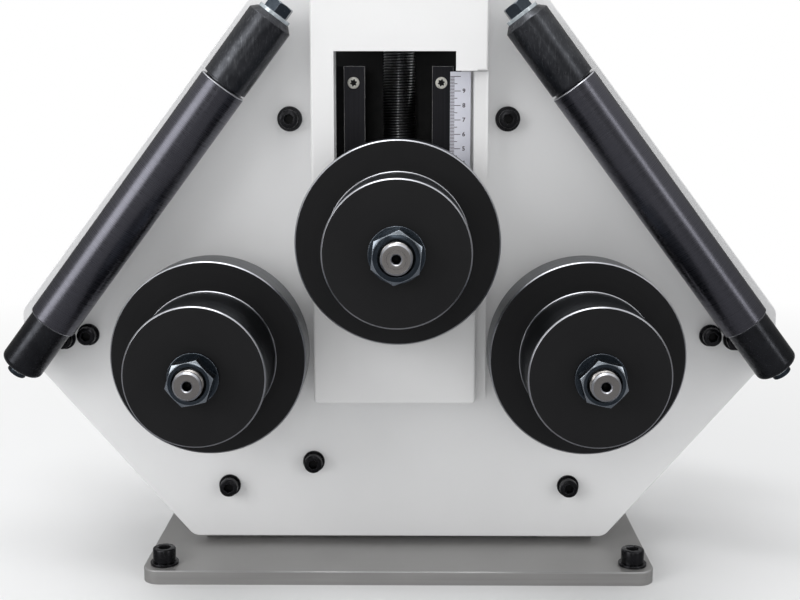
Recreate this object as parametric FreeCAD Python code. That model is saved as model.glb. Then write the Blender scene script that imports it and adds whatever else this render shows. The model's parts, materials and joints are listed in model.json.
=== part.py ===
import FreeCAD, Part
import math
import os

os.makedirs("parts", exist_ok=True)
V = FreeCAD.Vector

# Ring roller for the bench, in millimetres
# X runs to the right seen from the front, Y runs back into the machine, Z is up
# The origin is on the base underside, below the front face of the front plate

# Fits and gaps
running_gap = 0.05
slide_gap = 0.3
end_gap = 0.3
bolt_clearance = 0.5
edge_break = 1.0
plate_edge_break = 0.6

# Base plate and its bolts
base_half_width = 180.0
base_front = 60.0
base_rear = 158.0
base_thickness = 10.0
base_corner = 12.0
base_bolt_inset_x = 14.0
base_bolt_inset_y = 15.0

# Frame plates: the outline narrows below and above the two short upright sides
plate_thickness = 10.0
plate_spacing = 80.0
plate_bottom_z = 14.3
plate_bottom_half = 152.5
plate_side_half = 272.5
plate_side_low_z = 154.0
plate_side_high_z = 185.0
plate_top_z = 440.0
plate_top_half = 77.5
plate_corner = 10.0

# Screw places on the frame plates, and the spacers between the plates
top_screw_x = 76.8
top_screw_z = 322.0
mid_screw_inset = 47.2
mid_screw_z = 167.0
side_screw_inset = 29.9
side_screw_z = 164.2
foot_screw_x = 124.8
foot_screw_z = 53.8
extra_screw_x = -62.5
extra_screw_z = 72.0
tie_bar_radius = 11.0
side_block_margin = 9.0
side_block_low_z = 150.0
side_block_high_z = 181.0

# Foot brackets, bent to a U that opens upwards
foot_width = 40.0
foot_height = 65.0
foot_thickness = 6.0
foot_bolt_inset = 25.0

# Roller places
lower_shaft_x = 127.5
lower_shaft_z = 164.0
upper_shaft_z = 242.0

# Rollers: a large flange towards the plate and a drum in front of it
flange_back = 37.0
flange_width = 33.2
drum_width = 57.3
lower_flange_radius = 66.0
lower_drum_radius = 45.5
upper_flange_radius = 68.4
upper_drum_radius = 47.1

# Roller shafts, their nuts, keys and end bolts
shaft_radius = 12.5
thread_length = 24.9
shoulder_setback = 1.5
centre_drill_radius = 3.0
nut_height = 15.0
nut_washer_thickness = 3.0
left_nut_turn = 12.0
right_nut_turn = 46.0
upper_nut_turn = 24.0
sleeve_radius = 15.5
key_width = 8.0
key_depth = 4.0
key_rise = 3.3
roller_key_length = 50.0
end_washer_radius = 16.0
end_washer_thickness = 4.0
end_bolt_head = 5.0
end_bolt_flats = 13.0
end_bolt_radius = 4.0
end_bolt_reach = 18.0
end_clamp = 0.5

# Bearing tubes, bushes and bearing covers of the two lower shafts
tube_radius = 42.0
spigot_radius = 35.0
bush_radius = 16.0
bush_length = 30.0
bush_inset = 2.0
relief_radius = 14.5
bearing_cover_radius = 46.0
bearing_cover_thickness = 6.0
bearing_cover_screw_circle = 40.0

# Upper slide: guide rails, retaining strips and block
slot_half_width = 44.0
slot_low_z = 172.0
slot_high_z = 385.0
slot_corner = 4.0
block_half_width = 27.0
block_below_shaft = 40.0
block_above_shaft = 40.0
boss_half_width = 23.2
boss_front = 8.5
strip_inner = 23.5
strip_outer = 38.2
strip_thickness = 5.0
rail_low_z = 176.0
rail_high_z = 358.5
rail_screw_inset = 24.0
strip_screw_left_x = 31.4
strip_screw_right_x = 29.8
strip_screw_high_z = 347.0
strip_screw_low_z = 188.0
slide_bush_length = 25.0
end_recess_radius = 20.0
end_recess_depth = 10.5

# Spindle that moves the slide, its nut in the top bridge and its cross handle
spindle_y = 45.0
spindle_radius = 12.0
stem_radius = 8.0
collar_radius = 15.0
collar_height = 13.4
thrust_plate_thickness = 8.0
thrust_plate_half_depth = 25.0
thrust_screw_inset = 6.0
bridge_half_width = 58.0
bridge_height = 35.0
bridge_screw_inset = 18.0
nut_body_radius = 17.0
nut_flange_radius = 28.0
nut_flange_thickness = 6.0
nut_screw_circle = 22.5
hub_rise = 48.0
hub_height = 34.0
hub_radius = 20.0
stem_length = 15.0
tommy_bar_radius = 7.0
tommy_bar_half = 104.0
tommy_bar_drop = 11.0
knob_radius = 15.0
knob_seat = 10.0
knob_gap = 0.2
pin_radius = 2.5
pin_rise = 8.0

# Centre cover with its window and the open side for the scale
cover_left = 60.0
cover_top_right = 61.1
cover_right = 54.6
cover_depth = 28.5
cover_wall = 3.0
cover_corner = 3.0
cover_round = 2.0
cover_bottom_z = 122.6
window_left = 44.0
window_right = 39.3
window_low_z = 192.0
window_high_z = 368.1
notch_low_z = 235.0
notch_high_z = 355.0
cover_boss_radius = 6.0
cover_boss_x = 50.0
cover_boss_right_x = 42.0
cover_boss_low_z = 136.0
cover_boss_high_z = 394.0

# Scale rail, scale strip and pointer
scale_rail_width = 6.9
scale_rail_depth = 20.0
scale_rail_lip_left = 52.1
scale_seat_thickness = 5.5
scale_seat_margin = 0.2
scale_seat_web = 1.5
scale_seat_low_z = 240.0
scale_strip_left = 36.0
scale_strip_width = 14.3
scale_strip_thickness = 1.0
scale_strip_low_z = 246.0
scale_screw_low_z = 150.0
scale_screw_high_z = 330.0
pointer_thickness = 1.5
pointer_drop = 2.6
pointer_half_height = 2.0
pointer_taper = 6.0
pointer_tip_x = 46.0
pointer_tab_left = 1.0
pointer_tab_right = 22.0
pointer_tab_height = 9.0
pointer_screw_inset = 5.0

# Gears behind the rear plate
gear_module = 3.0
gear_dedendum = 1.25
gear_teeth = 67
pinion_teeth = 18
pressure_angle = math.radians(20)
flank_gap = 0.08
gear_front = 112.0
gear_width = 18.0
gear_hole_radius = 15.0
gear_hole_circle = 60.0
gear_hole_count = 6
pinion_hub_radius = 16.0

# Gear case on the rear plate
case_inset = 3.0
case_wall = 3.0
case_back = 143.0
case_top_z = 290.0
case_boss_radius = 7.0
case_boss_side_inset = 32.5
case_boss_side_z = 195.0
case_boss_foot_x = 110.0
case_boss_foot_z = 36.0
case_boss_top_x = 150.0
case_boss_top_z = 278.0

# Crank with its bearing hub and turning grip
crank_radius = 10.0
crank_bush_radius = 13.0
crank_bush_length = 16.0
crank_collar_radius = 12.5
crank_hub_flange_radius = 35.0
crank_hub_flange = 8.0
crank_hub_boss_radius = 20.0
crank_hub_length = 20.0
crank_hub_screw_circle = 27.5
crank_hub_gap = 2.0
crank_length = 135.0
crank_eye_radius = 18.0
crank_eye_length = 22.0
crank_arm_thickness = 12.0
crank_arm_half = 14.0
crank_key_width = 6.0
crank_key_end = 2.0
grip_pin_radius = 5.0
grip_radius = 14.0
grip_end_radius = 11.0
grip_length = 93.0
grip_nut_flats = 17.0
grip_nut_height = 8.0
grip_head_radius = 9.0
grip_head_height = 3.5

# Support rollers beside the upper slopes of the front plate
support_angle = math.radians(52.95)
support_foot_inset = 29.7
support_foot_z = 181.2
support_stand = 30.0
support_roller_radius = 16.85
support_roller_length = 205.4
support_axle_radius = 8.0
upper_holder_radius = 16.35
upper_holder_neck = 1.5
upper_holder_neck_radius = 14.0
upper_holder_length = 57.5
upper_holder_chamfer = 4.0
lower_holder_radius = 15.3
lower_holder_length = 40.0
lower_holder_round = 4.5
holder_wall = 8.0
holder_post_radius = 8.0
upper_post_setback = 28.5
lower_post_setback = 14.0
holder_bolt_radius = 5.0
holder_bolt_reach = 22.0
upper_bolt_washer = (12.0, 2.5)
holder_bolt_flats = 17.0
holder_bolt_head = 8.0

# Roller nut families: thread radius, nut across flats, washer radius
lower_nut = (9.3, 27.0, 16.5)
upper_nut = (10.0, 30.0, 18.0)

# Screw families: thread radius, head radius, head height, hexagon across flats
m5 = (2.5, 4.25, 5.0, 4.0)
m6 = (3.0, 5.0, 6.0, 5.0)
m8 = (4.0, 6.5, 8.0, 6.0)
m10 = (5.0, 8.0, 10.0, 8.0)
low_m8 = (4.0, 6.8, 3.6, 5.0)
strip_screw = (2.0, 4.1, 2.5, 2.5)
m8_washer = (8.0, 1.6)
top_washer = (8.8, 1.6)
m10_washer = (10.0, 2.0)
m5_engagement = 8.0
m6_engagement = 12.0
m8_engagement = 14.0
strip_engagement = 12.0
head_chamfer_share = 0.12
hex_corner_slope = 0.7

# Places that follow from the sizes above
rear_plate_front = plate_thickness + plate_spacing
rear_plate_back = rear_plate_front + plate_thickness
flange_front = flange_back + flange_width
drum_front = flange_front + drum_width
shaft_front = drum_front + thread_length
gear_back = gear_front + gear_width
case_inner_back = case_back - case_wall
crank_z = lower_shaft_z
mid_screw_x = plate_side_half - mid_screw_inset
side_screw_x = plate_side_half - side_screw_inset
case_boss_side_x = plate_side_half - case_boss_side_inset
support_foot_x = plate_side_half - support_foot_inset
hub_low_z = plate_top_z + hub_rise
plate_screw_length = plate_thickness + m8_engagement
outward_front = V(0, -1, 0)
outward_rear = V(0, 1, 0)
upward = V(0, 0, 1)
to_the_right = V(1, 0, 0)
to_the_left = V(-1, 0, 0)
origin = V(0, 0, 0)


# Basic shapes
def box(x0, x1, y0, y1, z0, z1):
    return Part.makeBox(x1 - x0, y1 - y0, z1 - z0, V(x0, y0, z0))


def side_box(side, near, far, y0, y1, z0, z1):
    # a box between two distances from the middle plane, side is -1 or 1
    return box(min(side * near, side * far), max(side * near, side * far), y0, y1, z0, z1)


def rod_x(radius, x0, x1, y=0, z=0):
    return Part.makeCylinder(radius, x1 - x0, V(x0, y, z), to_the_right)


def rod_y(radius, y0, y1, x=0, z=0):
    return Part.makeCylinder(radius, y1 - y0, V(x, y0, z), outward_rear)


def rod_z(radius, z0, z1, x=0, y=0):
    return Part.makeCylinder(radius, z1 - z0, V(x, y, z0), upward)


def ring_y(inner, outer, y0, y1, x=0, z=0):
    return rod_y(outer, y0, y1, x, z).cut(rod_y(inner, y0, y1, x, z))


def turned(profile):
    # profile is a closed outline of radius and height, turned about the Z axis
    points = [V(radius, 0, height) for radius, height in profile]
    return Part.Face(Part.makePolygon(points + points[:1])).revolve(origin, upward, 360)


def stand(shape, foot, outward):
    # a shape made on the Z axis is set on foot with its Z axis along outward
    placed = shape.copy()
    placed.Placement = FreeCAD.Placement(foot, FreeCAD.Rotation(upward, outward))
    return placed


def chamfered_rod(radius, length, chamfer):
    return turned([(0, 0), (radius - chamfer, 0), (radius, chamfer), (radius, length - chamfer),
                   (radius - chamfer, length), (0, length)])


def chamfered_rod_y(radius, y0, y1, chamfer, x=0, z=0):
    return stand(chamfered_rod(radius, y1 - y0, chamfer), V(x, y0, z), outward_rear)


def hexagon(flats, height):
    corner = flats / math.sqrt(3)
    angles = [math.radians(60 * i) for i in range(7)]
    points = [V(corner * math.cos(angle), corner * math.sin(angle), 0) for angle in angles]
    return Part.Face(Part.makePolygon(points)).extrude(V(0, 0, height))


def hex_body(flats, height, both_ends):
    # hexagon with the turned corners of a real nut or bolt head
    corner = flats / math.sqrt(3)
    drop = (corner - flats / 2) * hex_corner_slope
    low = [(0, 0), (flats / 2, 0), (corner, drop)] if both_ends else [(0, 0), (corner, 0)]
    high = [(corner, height - drop), (flats / 2, height), (0, height)]
    return hexagon(flats, height).common(turned(low + high))


def socket_screw(family, length, foot, outward):
    # the head stands on foot and the shank goes the other way
    thread, head, height, flats = family
    chamfer = height * head_chamfer_share
    head_shape = turned([(0, 0), (head, 0), (head, height - chamfer), (head - chamfer, height), (0, height)])
    socket = hexagon(flats, height / 2)
    socket.translate(V(0, 0, height / 2))
    shank = Part.makeCylinder(thread, length, V(0, 0, -length))
    return stand(head_shape.cut(socket).fuse(shank).removeSplitter(), foot, outward)


def washer(flat, hole, foot, outward):
    radius, thickness = flat
    ring = Part.makeCylinder(radius, thickness).cut(Part.makeCylinder(hole, thickness))
    return stand(ring, foot, outward)


def screw_on_washer(family, flat, length, foot, outward):
    seat = foot + outward * flat[1]
    ring = washer(flat, family[0] + bolt_clearance / 2, foot, outward)
    return [socket_screw(family, length + flat[1], seat, outward), ring]


def hex_bolt(radius, flats, height, length, foot, outward):
    shank = Part.makeCylinder(radius, length, V(0, 0, -length))
    return stand(hex_body(flats, height, False).fuse(shank).removeSplitter(), foot, outward)


def drill(shape, places, radius, y0, y1):
    # holes along Y at places given as X and Z
    for x, z in places:
        shape = shape.cut(rod_y(radius, y0, y1, x, z))
    return shape


def drill_down(shape, places, radius, z0, z1):
    # holes along Z at places given as X and Y
    for x, y in places:
        shape = shape.cut(rod_z(radius, z0, z1, x, y))
    return shape


def both_sides(x, z):
    return [(-x, z), (x, z)]


def around(radius, count, x, z):
    # places on a circle, the first one half a step up from +X
    angles = [2 * math.pi * (i + 0.5) / count for i in range(count)]
    return [(x + radius * math.cos(angle), z + radius * math.sin(angle)) for angle in angles]


# Outlines in X and Z
def inset(points, distance):
    # each edge of the convex outline moves inwards, and the corners follow
    moved = []
    for i, (x, z) in enumerate(points):
        before, after = points[i - 1], points[(i + 1) % len(points)]
        arrive = V(x - before[0], z - before[1], 0).normalize()
        leave = V(after[0] - x, after[1] - z, 0).normalize()
        reach = distance / arrive.cross(leave).z
        moved.append((x + reach * (leave.x - arrive.x), z + reach * (leave.y - arrive.y)))
    return moved


def rounded_prism(points, radius, y0, y1):
    # an outline with round corners, made solid from y0 to y1
    arcs = []
    for i, (x, z) in enumerate(points):
        before, after = points[i - 1], points[(i + 1) % len(points)]
        here = V(x, y0, z)
        to_before = (V(before[0], y0, before[1]) - here).normalize()
        to_after = (V(after[0], y0, after[1]) - here).normalize()
        half = to_before.getAngle(to_after) / 2
        inward = (to_before + to_after).normalize()
        start = here + to_before * (radius / math.tan(half))
        end = here + to_after * (radius / math.tan(half))
        arcs.append((start, here + inward * (radius / math.sin(half) - radius), end))
    edges = []
    for i, (start, middle, end) in enumerate(arcs):
        edges.append(Part.Arc(start, middle, end).toShape())
        edges.append(Part.LineSegment(end, arcs[(i + 1) % len(arcs)][0]).toShape())
    return Part.Face(Part.Wire(edges)).extrude(V(0, y1 - y0, 0))


def break_flat_edges(shape, size):
    # chamfers every edge that lies in a front or a rear face
    edges = [edge for edge in shape.Edges if edge.BoundBox.YLength < size / 10]
    return shape.makeChamfer(size, edges)


def frame_outline():
    right = [(plate_bottom_half, plate_bottom_z), (plate_side_half, plate_side_low_z)]
    right += [(plate_side_half, plate_side_high_z), (plate_top_half, plate_top_z)]
    return right + [(-x, z) for x, z in reversed(right)]


def frame_plate(y0, y1):
    return break_flat_edges(rounded_prism(frame_outline(), plate_corner, y0, y1), plate_edge_break)


# Support rollers are made along X from the roller's lower end, then set on their slope
upper_holder_start = support_roller_length + 2 * end_gap
upper_holder_end = upper_holder_start + upper_holder_length
upper_post_at = upper_holder_end - upper_post_setback
lower_post_at = lower_post_setback - lower_holder_length


def support_point(along, side):
    x = support_foot_x - along * math.cos(support_angle)
    return V(side * x, -support_stand, support_foot_z + along * math.sin(support_angle))


def to_support(shape, side):
    placed = shape.copy()
    placed.rotate(origin, outward_rear, -math.degrees(support_angle))
    placed.translate(support_point(0, -1))
    return placed.mirror(origin, to_the_right) if side > 0 else placed


def on_both_slopes(shapes):
    return Part.makeCompound([to_support(shape, side) for side in (-1, 1) for shape in shapes])


# Screw places, as X and Z
plate_screw_places = both_sides(top_screw_x, top_screw_z) + both_sides(mid_screw_x, mid_screw_z)
plate_screw_places += both_sides(side_screw_x, side_screw_z) + both_sides(foot_screw_x, foot_screw_z)
plate_screw_places += [(extra_screw_x, extra_screw_z)]
post_points = [support_point(along, side) for side in (-1, 1) for along in (upper_post_at, lower_post_at)]
post_places = [(point.x, point.z) for point in post_points]
cover_screw_places = [(-cover_boss_x, cover_boss_low_z), (cover_boss_right_x, cover_boss_low_z)]
cover_screw_places += both_sides(cover_boss_x, cover_boss_high_z)
strip_screw_places = [(-strip_screw_left_x, strip_screw_low_z), (strip_screw_right_x, strip_screw_low_z)]
strip_screw_places += [(-strip_screw_left_x, strip_screw_high_z), (strip_screw_right_x, strip_screw_high_z)]
scale_rail_left = cover_right + end_gap
scale_rail_high_z = notch_high_z - end_gap
scale_screw_x = scale_rail_left + scale_rail_width / 2
scale_screw_places = [(scale_screw_x, scale_screw_low_z), (scale_screw_x, scale_screw_high_z)]
rail_inner = block_half_width + slide_gap
rail_screw_x = (rail_inner + slot_half_width) / 2
rail_screw_places = both_sides(rail_screw_x, rail_low_z + rail_screw_inset)
rail_screw_places += both_sides(rail_screw_x, rail_high_z - rail_screw_inset)
bridge_screw_places = both_sides(bridge_half_width - bridge_screw_inset, plate_top_z - bridge_height / 2)
case_screw_places = both_sides(case_boss_side_x, case_boss_side_z)
case_screw_places += both_sides(case_boss_foot_x, case_boss_foot_z)
case_screw_places += both_sides(case_boss_top_x, case_boss_top_z)
bearing_cover_screws = around(bearing_cover_screw_circle, 4, -lower_shaft_x, lower_shaft_z)
bearing_cover_screws += around(bearing_cover_screw_circle, 4, lower_shaft_x, lower_shaft_z)
crank_hub_screws = around(crank_hub_screw_circle, 4, 0, crank_z)

# Screw places, as X and Y
base_bolt_x = base_half_width - base_bolt_inset_x
base_front_places = both_sides(base_bolt_x, base_bolt_inset_y - base_front)
base_rear_places = both_sides(base_bolt_x, base_rear - base_bolt_inset_y)
foot_bolt_places = both_sides(foot_screw_x, plate_thickness + foot_bolt_inset)
foot_bolt_places += both_sides(foot_screw_x, rear_plate_front - foot_bolt_inset)
thrust_screw_x = block_half_width - thrust_screw_inset
thrust_screw_reach = thrust_plate_half_depth - thrust_screw_inset
thrust_screw_places = both_sides(thrust_screw_x, spindle_y - thrust_screw_reach)
thrust_screw_places += both_sides(thrust_screw_x, spindle_y + thrust_screw_reach)
nut_screw_places = around(nut_screw_circle, 4, 0, spindle_y)


# Base plate, its bolts and the brackets that carry the frame
def make_base_plate():
    plate = box(-base_half_width, base_half_width, -base_front, base_rear, 0, base_thickness)
    upright = [edge for edge in plate.Edges if edge.BoundBox.ZLength > base_thickness / 2]
    plate = plate.makeFillet(base_corner, upright)
    top = [edge for edge in plate.Edges if edge.BoundBox.ZMin > base_thickness / 2]
    plate = plate.makeChamfer(plate_edge_break, top)
    corners = base_front_places + base_rear_places
    plate = drill_down(plate, corners, m10[0] + bolt_clearance, 0, base_thickness)
    return drill_down(plate, foot_bolt_places, m8[0], 0, base_thickness)


def make_base_bolts():
    solids = []
    for x, y in base_front_places:
        foot = V(x, y, base_thickness)
        solids += screw_on_washer(m10, m10_washer, base_thickness - bolt_clearance, foot, upward)
    return Part.makeCompound(solids)


def make_foot_brackets():
    solids = []
    floor = base_thickness + foot_thickness
    y0, y1 = plate_thickness, rear_plate_front
    for side in (-1, 1):
        near, far = foot_screw_x - foot_width / 2, foot_screw_x + foot_width / 2
        bracket = side_box(side, near, far, y0, y1, base_thickness, base_thickness + foot_height)
        hollow = side_box(side, near, far, y0 + foot_thickness, y1 - foot_thickness,
                          floor, base_thickness + foot_height)
        bracket = drill(bracket.cut(hollow), [(side * foot_screw_x, foot_screw_z)], m8[0], y0, y1)
        solids.append(drill_down(bracket, foot_bolt_places, m8[0] + bolt_clearance, base_thickness, floor))
    return Part.makeCompound(solids)


# Frame plates and the pieces that hold them apart
def make_front_plate():
    plate = frame_plate(0, plate_thickness)
    slot = both_sides(slot_half_width, slot_low_z)
    slot += [(slot_half_width, slot_high_z), (-slot_half_width, slot_high_z)]
    plate = plate.cut(rounded_prism(slot, slot_corner, 0, plate_thickness))
    plate = drill(plate, both_sides(lower_shaft_x, lower_shaft_z), spigot_radius, 0, plate_thickness)
    plate = drill(plate, plate_screw_places + post_places, m8[0] + bolt_clearance, 0, plate_thickness)
    plate = drill(plate, cover_screw_places + bridge_screw_places, m6[0] + bolt_clearance, 0, plate_thickness)
    plate = drill(plate, scale_screw_places, m5[0] + bolt_clearance, 0, plate_thickness)
    return drill(plate, bearing_cover_screws, m6[0], 0, plate_thickness)


def make_rear_plate():
    y0, y1 = rear_plate_front, rear_plate_back
    plate = frame_plate(y0, y1)
    plate = drill(plate, both_sides(lower_shaft_x, lower_shaft_z), spigot_radius, y0, y1)
    plate = drill(plate, [(0, crank_z)], crank_bush_radius, y0, y1)
    plate = drill(plate, plate_screw_places, m8[0] + bolt_clearance, y0, y1)
    plate = drill(plate, rail_screw_places + bridge_screw_places, m6[0] + bolt_clearance, y0, y1)
    return drill(plate, case_screw_places, m6[0], y0, y1)


def make_frame_spacers():
    solids = []
    y0, y1 = plate_thickness, rear_plate_front
    for x, z in both_sides(top_screw_x, top_screw_z) + [(extra_screw_x, extra_screw_z)]:
        bar = chamfered_rod_y(tie_bar_radius, y0, y1, edge_break, x, z)
        solids.append(drill(bar, [(x, z)], m8[0], y0, y1))
    for side in (-1, 1):
        block = side_box(side, mid_screw_x - side_block_margin, side_screw_x + side_block_margin,
                         y0, y1, side_block_low_z, side_block_high_z)
        tapped = [(side * mid_screw_x, mid_screw_z), (side * side_screw_x, side_screw_z)]
        solids.append(drill(block, tapped, m8[0], y0, y1))
    return Part.makeCompound(solids)


def make_front_plate_screws():
    solids = []
    for x, z in plate_screw_places:
        flat = top_washer if z == top_screw_z else m8_washer
        solids += screw_on_washer(m8, flat, plate_screw_length, V(x, 0, z), outward_front)
    return Part.makeCompound(solids)


def make_inner_m8_screws():
    # rear side of the plates, the support holders and the foot brackets
    solids = []
    for x, z in plate_screw_places:
        solids += screw_on_washer(m8, m8_washer, plate_screw_length, V(x, rear_plate_back, z), outward_rear)
    for x, z in post_places:
        solids.append(socket_screw(m8, plate_screw_length, V(x, plate_thickness, z), outward_rear))
    floor = base_thickness + foot_thickness
    for x, y in foot_bolt_places:
        solids.append(socket_screw(m8, floor - bolt_clearance, V(x, y, floor), upward))
    return Part.makeCompound(solids)


def make_small_screws():
    # cover, scale rail, bridge, guide rails, bearing covers, spindle nut, gear case and crank hub
    solids = []
    through_plate = plate_thickness + m6_engagement
    for x, z in cover_screw_places:
        solids.append(socket_screw(m6, through_plate, V(x, plate_thickness, z), outward_rear))
    for x, z in scale_screw_places:
        reach = plate_thickness + m5_engagement
        solids.append(socket_screw(m5, reach, V(x, plate_thickness, z), outward_rear))
    for x, z in bridge_screw_places:
        solids.append(socket_screw(m6, through_plate, V(x, 0, z), outward_front))
    for x, z in bridge_screw_places + rail_screw_places:
        solids.append(socket_screw(m6, through_plate, V(x, rear_plate_back, z), outward_rear))
    for x, z in bearing_cover_screws:
        reach = bearing_cover_thickness + plate_thickness - edge_break
        solids.append(socket_screw(m6, reach, V(x, -bearing_cover_thickness, z), outward_front))
    for x, y in nut_screw_places:
        seat = plate_top_z + nut_flange_thickness
        solids.append(socket_screw(m6, nut_flange_thickness + m6_engagement, V(x, y, seat), upward))
    for x, z in case_screw_places:
        reach = case_back - rear_plate_front - edge_break
        solids.append(socket_screw(m6, reach, V(x, case_back, z), outward_rear))
    for x, z in crank_hub_screws:
        reach = crank_hub_flange + case_wall + edge_break
        solids.append(socket_screw(m6, reach, V(x, case_back + crank_hub_flange, z), outward_rear))
    return Part.makeCompound(solids)


# Lower shafts: bearing tubes, bushes and bearing covers
def make_bearing_tubes():
    solids = []
    seat = bush_inset + bush_length
    for x, z in both_sides(lower_shaft_x, lower_shaft_z):
        tube = rod_y(tube_radius, plate_thickness, rear_plate_front, x, z)
        tube = tube.fuse(rod_y(spigot_radius, 0, rear_plate_back, x, z)).removeSplitter()
        tube = tube.cut(rod_y(relief_radius, 0, rear_plate_back, x, z))
        tube = tube.cut(rod_y(bush_radius, 0, seat, x, z))
        solids.append(tube.cut(rod_y(bush_radius, rear_plate_back - seat, rear_plate_back, x, z)))
    return Part.makeCompound(solids)


def make_frame_bushes():
    # two bushes on each lower shaft and two on the crank shaft
    solids = []
    for x, z in both_sides(lower_shaft_x, lower_shaft_z):
        for y in (bush_inset, rear_plate_back - bush_inset - bush_length):
            solids.append(ring_y(shaft_radius + running_gap, bush_radius, y, y + bush_length, x, z))
    crank_bore = crank_radius + running_gap
    front_end = rear_plate_front + crank_bush_length
    rear_end = case_back + crank_hub_length
    solids.append(ring_y(crank_bore, crank_bush_radius, rear_plate_front, front_end, 0, crank_z))
    solids.append(ring_y(crank_bore, crank_bush_radius, case_inner_back, rear_end, 0, crank_z))
    return Part.makeCompound(solids)


def make_bearing_covers():
    solids = []
    for x, z in both_sides(lower_shaft_x, lower_shaft_z):
        cover = chamfered_rod_y(bearing_cover_radius, -bearing_cover_thickness, 0, edge_break, x, z)
        cover = cover.cut(rod_y(sleeve_radius + bolt_clearance, -bearing_cover_thickness, 0, x, z))
        hole = m6[0] + bolt_clearance / 2
        solids.append(drill(cover, bearing_cover_screws, hole, -bearing_cover_thickness, 0))
    return Part.makeCompound(solids)


# Rollers, their shafts and what clamps them
roller_key_y = -(flange_back + drum_front + roller_key_length) / 2
gear_key_y = gear_front + edge_break
gear_key_length = gear_width - 2 * edge_break
recess_front = rear_plate_front - slide_gap - end_recess_depth
upper_shaft_back = recess_front + end_gap
lower_shaft_back = gear_back - end_clamp


def key(y0, length, x, z, radius=shaft_radius, width=key_width):
    return box(x - width / 2, x + width / 2, y0, y0 + length, z + radius - key_depth, z + radius + key_rise)


def keyway(y0, y1, x, z, radius=shaft_radius, width=key_width):
    return box(x - width / 2, x + width / 2, y0, y1, z, z + radius + key_rise)


def turned_y(profile, x, z):
    # profile is a closed outline of radius and depth, turned about a line along Y
    return stand(turned(profile), V(x, 0, z), outward_rear)


def make_roller(flange_radius, drum_radius, x, z):
    c = edge_break
    profile = [(shaft_radius, -flange_back), (flange_radius - c, -flange_back)]
    profile += [(flange_radius, -flange_back - c), (flange_radius, -flange_front + c)]
    profile += [(flange_radius - c, -flange_front)]
    profile += [(drum_radius, -flange_front), (drum_radius, -drum_front + c), (drum_radius - c, -drum_front)]
    profile += [(shaft_radius, -drum_front)]
    return turned_y(profile, x, z).cut(keyway(-drum_front, -flange_back, x, z))


def make_shaft(back, x, z, nut_family):
    # threaded front end with a centre drilling, plain journal and a tapped rear end
    c = edge_break
    thread = nut_family[0]
    shoulder = -drum_front + shoulder_setback
    profile = [(0, -shaft_front + centre_drill_radius * 2), (centre_drill_radius, -shaft_front)]
    profile += [(thread - c, -shaft_front), (thread, -shaft_front + c), (thread, shoulder)]
    profile += [(shaft_radius, shoulder), (shaft_radius, back), (0, back)]
    shaft = turned_y(profile, x, z).cut(key(roller_key_y, roller_key_length, x, z))
    return shaft.cut(rod_y(end_bolt_radius, back - end_bolt_reach, back, x, z))


def make_roller_nut(x, z, nut_family, turn):
    # turn is the angle of one corner of the nut, counted from +X towards +Z
    thread, flats, washer_radius = nut_family
    seat = V(x, -drum_front, z)
    ring = washer((washer_radius, nut_washer_thickness), thread + bolt_clearance, seat, outward_front)
    nut = hex_body(flats, nut_height, True).cut(Part.makeCylinder(thread, nut_height))
    nut = stand(nut, seat + outward_front * nut_washer_thickness, outward_front)
    nut.rotate(seat, outward_front, turn)
    return Part.makeCompound([ring, nut])


def end_bolt_and_washer(back, face, x, z):
    # the washer lies against face, and the bolt goes into the shaft end at back
    seat = V(x, face, z)
    ring = washer((end_washer_radius, end_washer_thickness), end_bolt_radius, seat, outward_rear)
    length = face + end_washer_thickness - back + end_bolt_reach
    head_seat = seat + outward_rear * end_washer_thickness
    return [ring, hex_bolt(end_bolt_radius, end_bolt_flats, end_bolt_head, length, head_seat, outward_rear)]


def make_lower_shaft(x):
    shaft = make_shaft(lower_shaft_back, x, lower_shaft_z, lower_nut)
    return shaft.cut(key(gear_key_y, gear_key_length, x, lower_shaft_z))


def make_lower_sleeves(x):
    front_end = bush_inset - end_gap
    rear_start = rear_plate_back - bush_inset + end_gap
    front = ring_y(shaft_radius, sleeve_radius, -flange_back, front_end, x, lower_shaft_z)
    rear = ring_y(shaft_radius, sleeve_radius, rear_start, gear_front, x, lower_shaft_z)
    return Part.makeCompound([front, rear])


def make_lower_fasteners(x):
    keys = [key(roller_key_y, roller_key_length, x, lower_shaft_z)]
    keys += [key(gear_key_y, gear_key_length, x, lower_shaft_z)]
    return Part.makeCompound(keys + end_bolt_and_washer(lower_shaft_back, gear_back, x, lower_shaft_z))


def make_upper_sleeve():
    return ring_y(shaft_radius, sleeve_radius, -flange_back, -boss_front - end_gap, 0, upper_shaft_z)


def make_upper_fasteners():
    keys = [key(roller_key_y, roller_key_length, 0, upper_shaft_z)]
    return Part.makeCompound(keys + end_bolt_and_washer(upper_shaft_back, upper_shaft_back, 0, upper_shaft_z))


# Gears
def involute(angle):
    return math.tan(angle) - angle


def gear_blank(teeth, phase, x, z):
    # phase is the angle of a tooth, counted from +X towards +Z
    pitch_radius = gear_module * teeth / 2
    base_radius = pitch_radius * math.cos(pressure_angle)
    root_radius = pitch_radius - gear_dedendum * gear_module
    flank_start = max(root_radius, base_radius)
    flank_steps = 4
    flank_rise = (pitch_radius + gear_module - flank_start) / flank_steps
    at_pitch = math.pi / (2 * teeth) - flank_gap / pitch_radius + involute(pressure_angle)
    flank = []
    for step in range(flank_steps + 1):
        radius = flank_start + step * flank_rise
        flank.append((radius, at_pitch - involute(math.acos(min(1, base_radius / radius)))))
    if root_radius < flank_start:
        flank.insert(0, (root_radius, flank[0][1]))
    points = []
    for tooth in range(teeth):
        centre = phase + 2 * math.pi * tooth / teeth
        outline = [(radius, centre - half) for radius, half in flank]
        outline += [(radius, centre + half) for radius, half in reversed(flank)]
        points += [V(x + radius * math.cos(a), gear_front, z + radius * math.sin(a)) for radius, a in outline]
    return Part.Face(Part.makePolygon(points + points[:1])).extrude(V(0, gear_width, 0))


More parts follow.
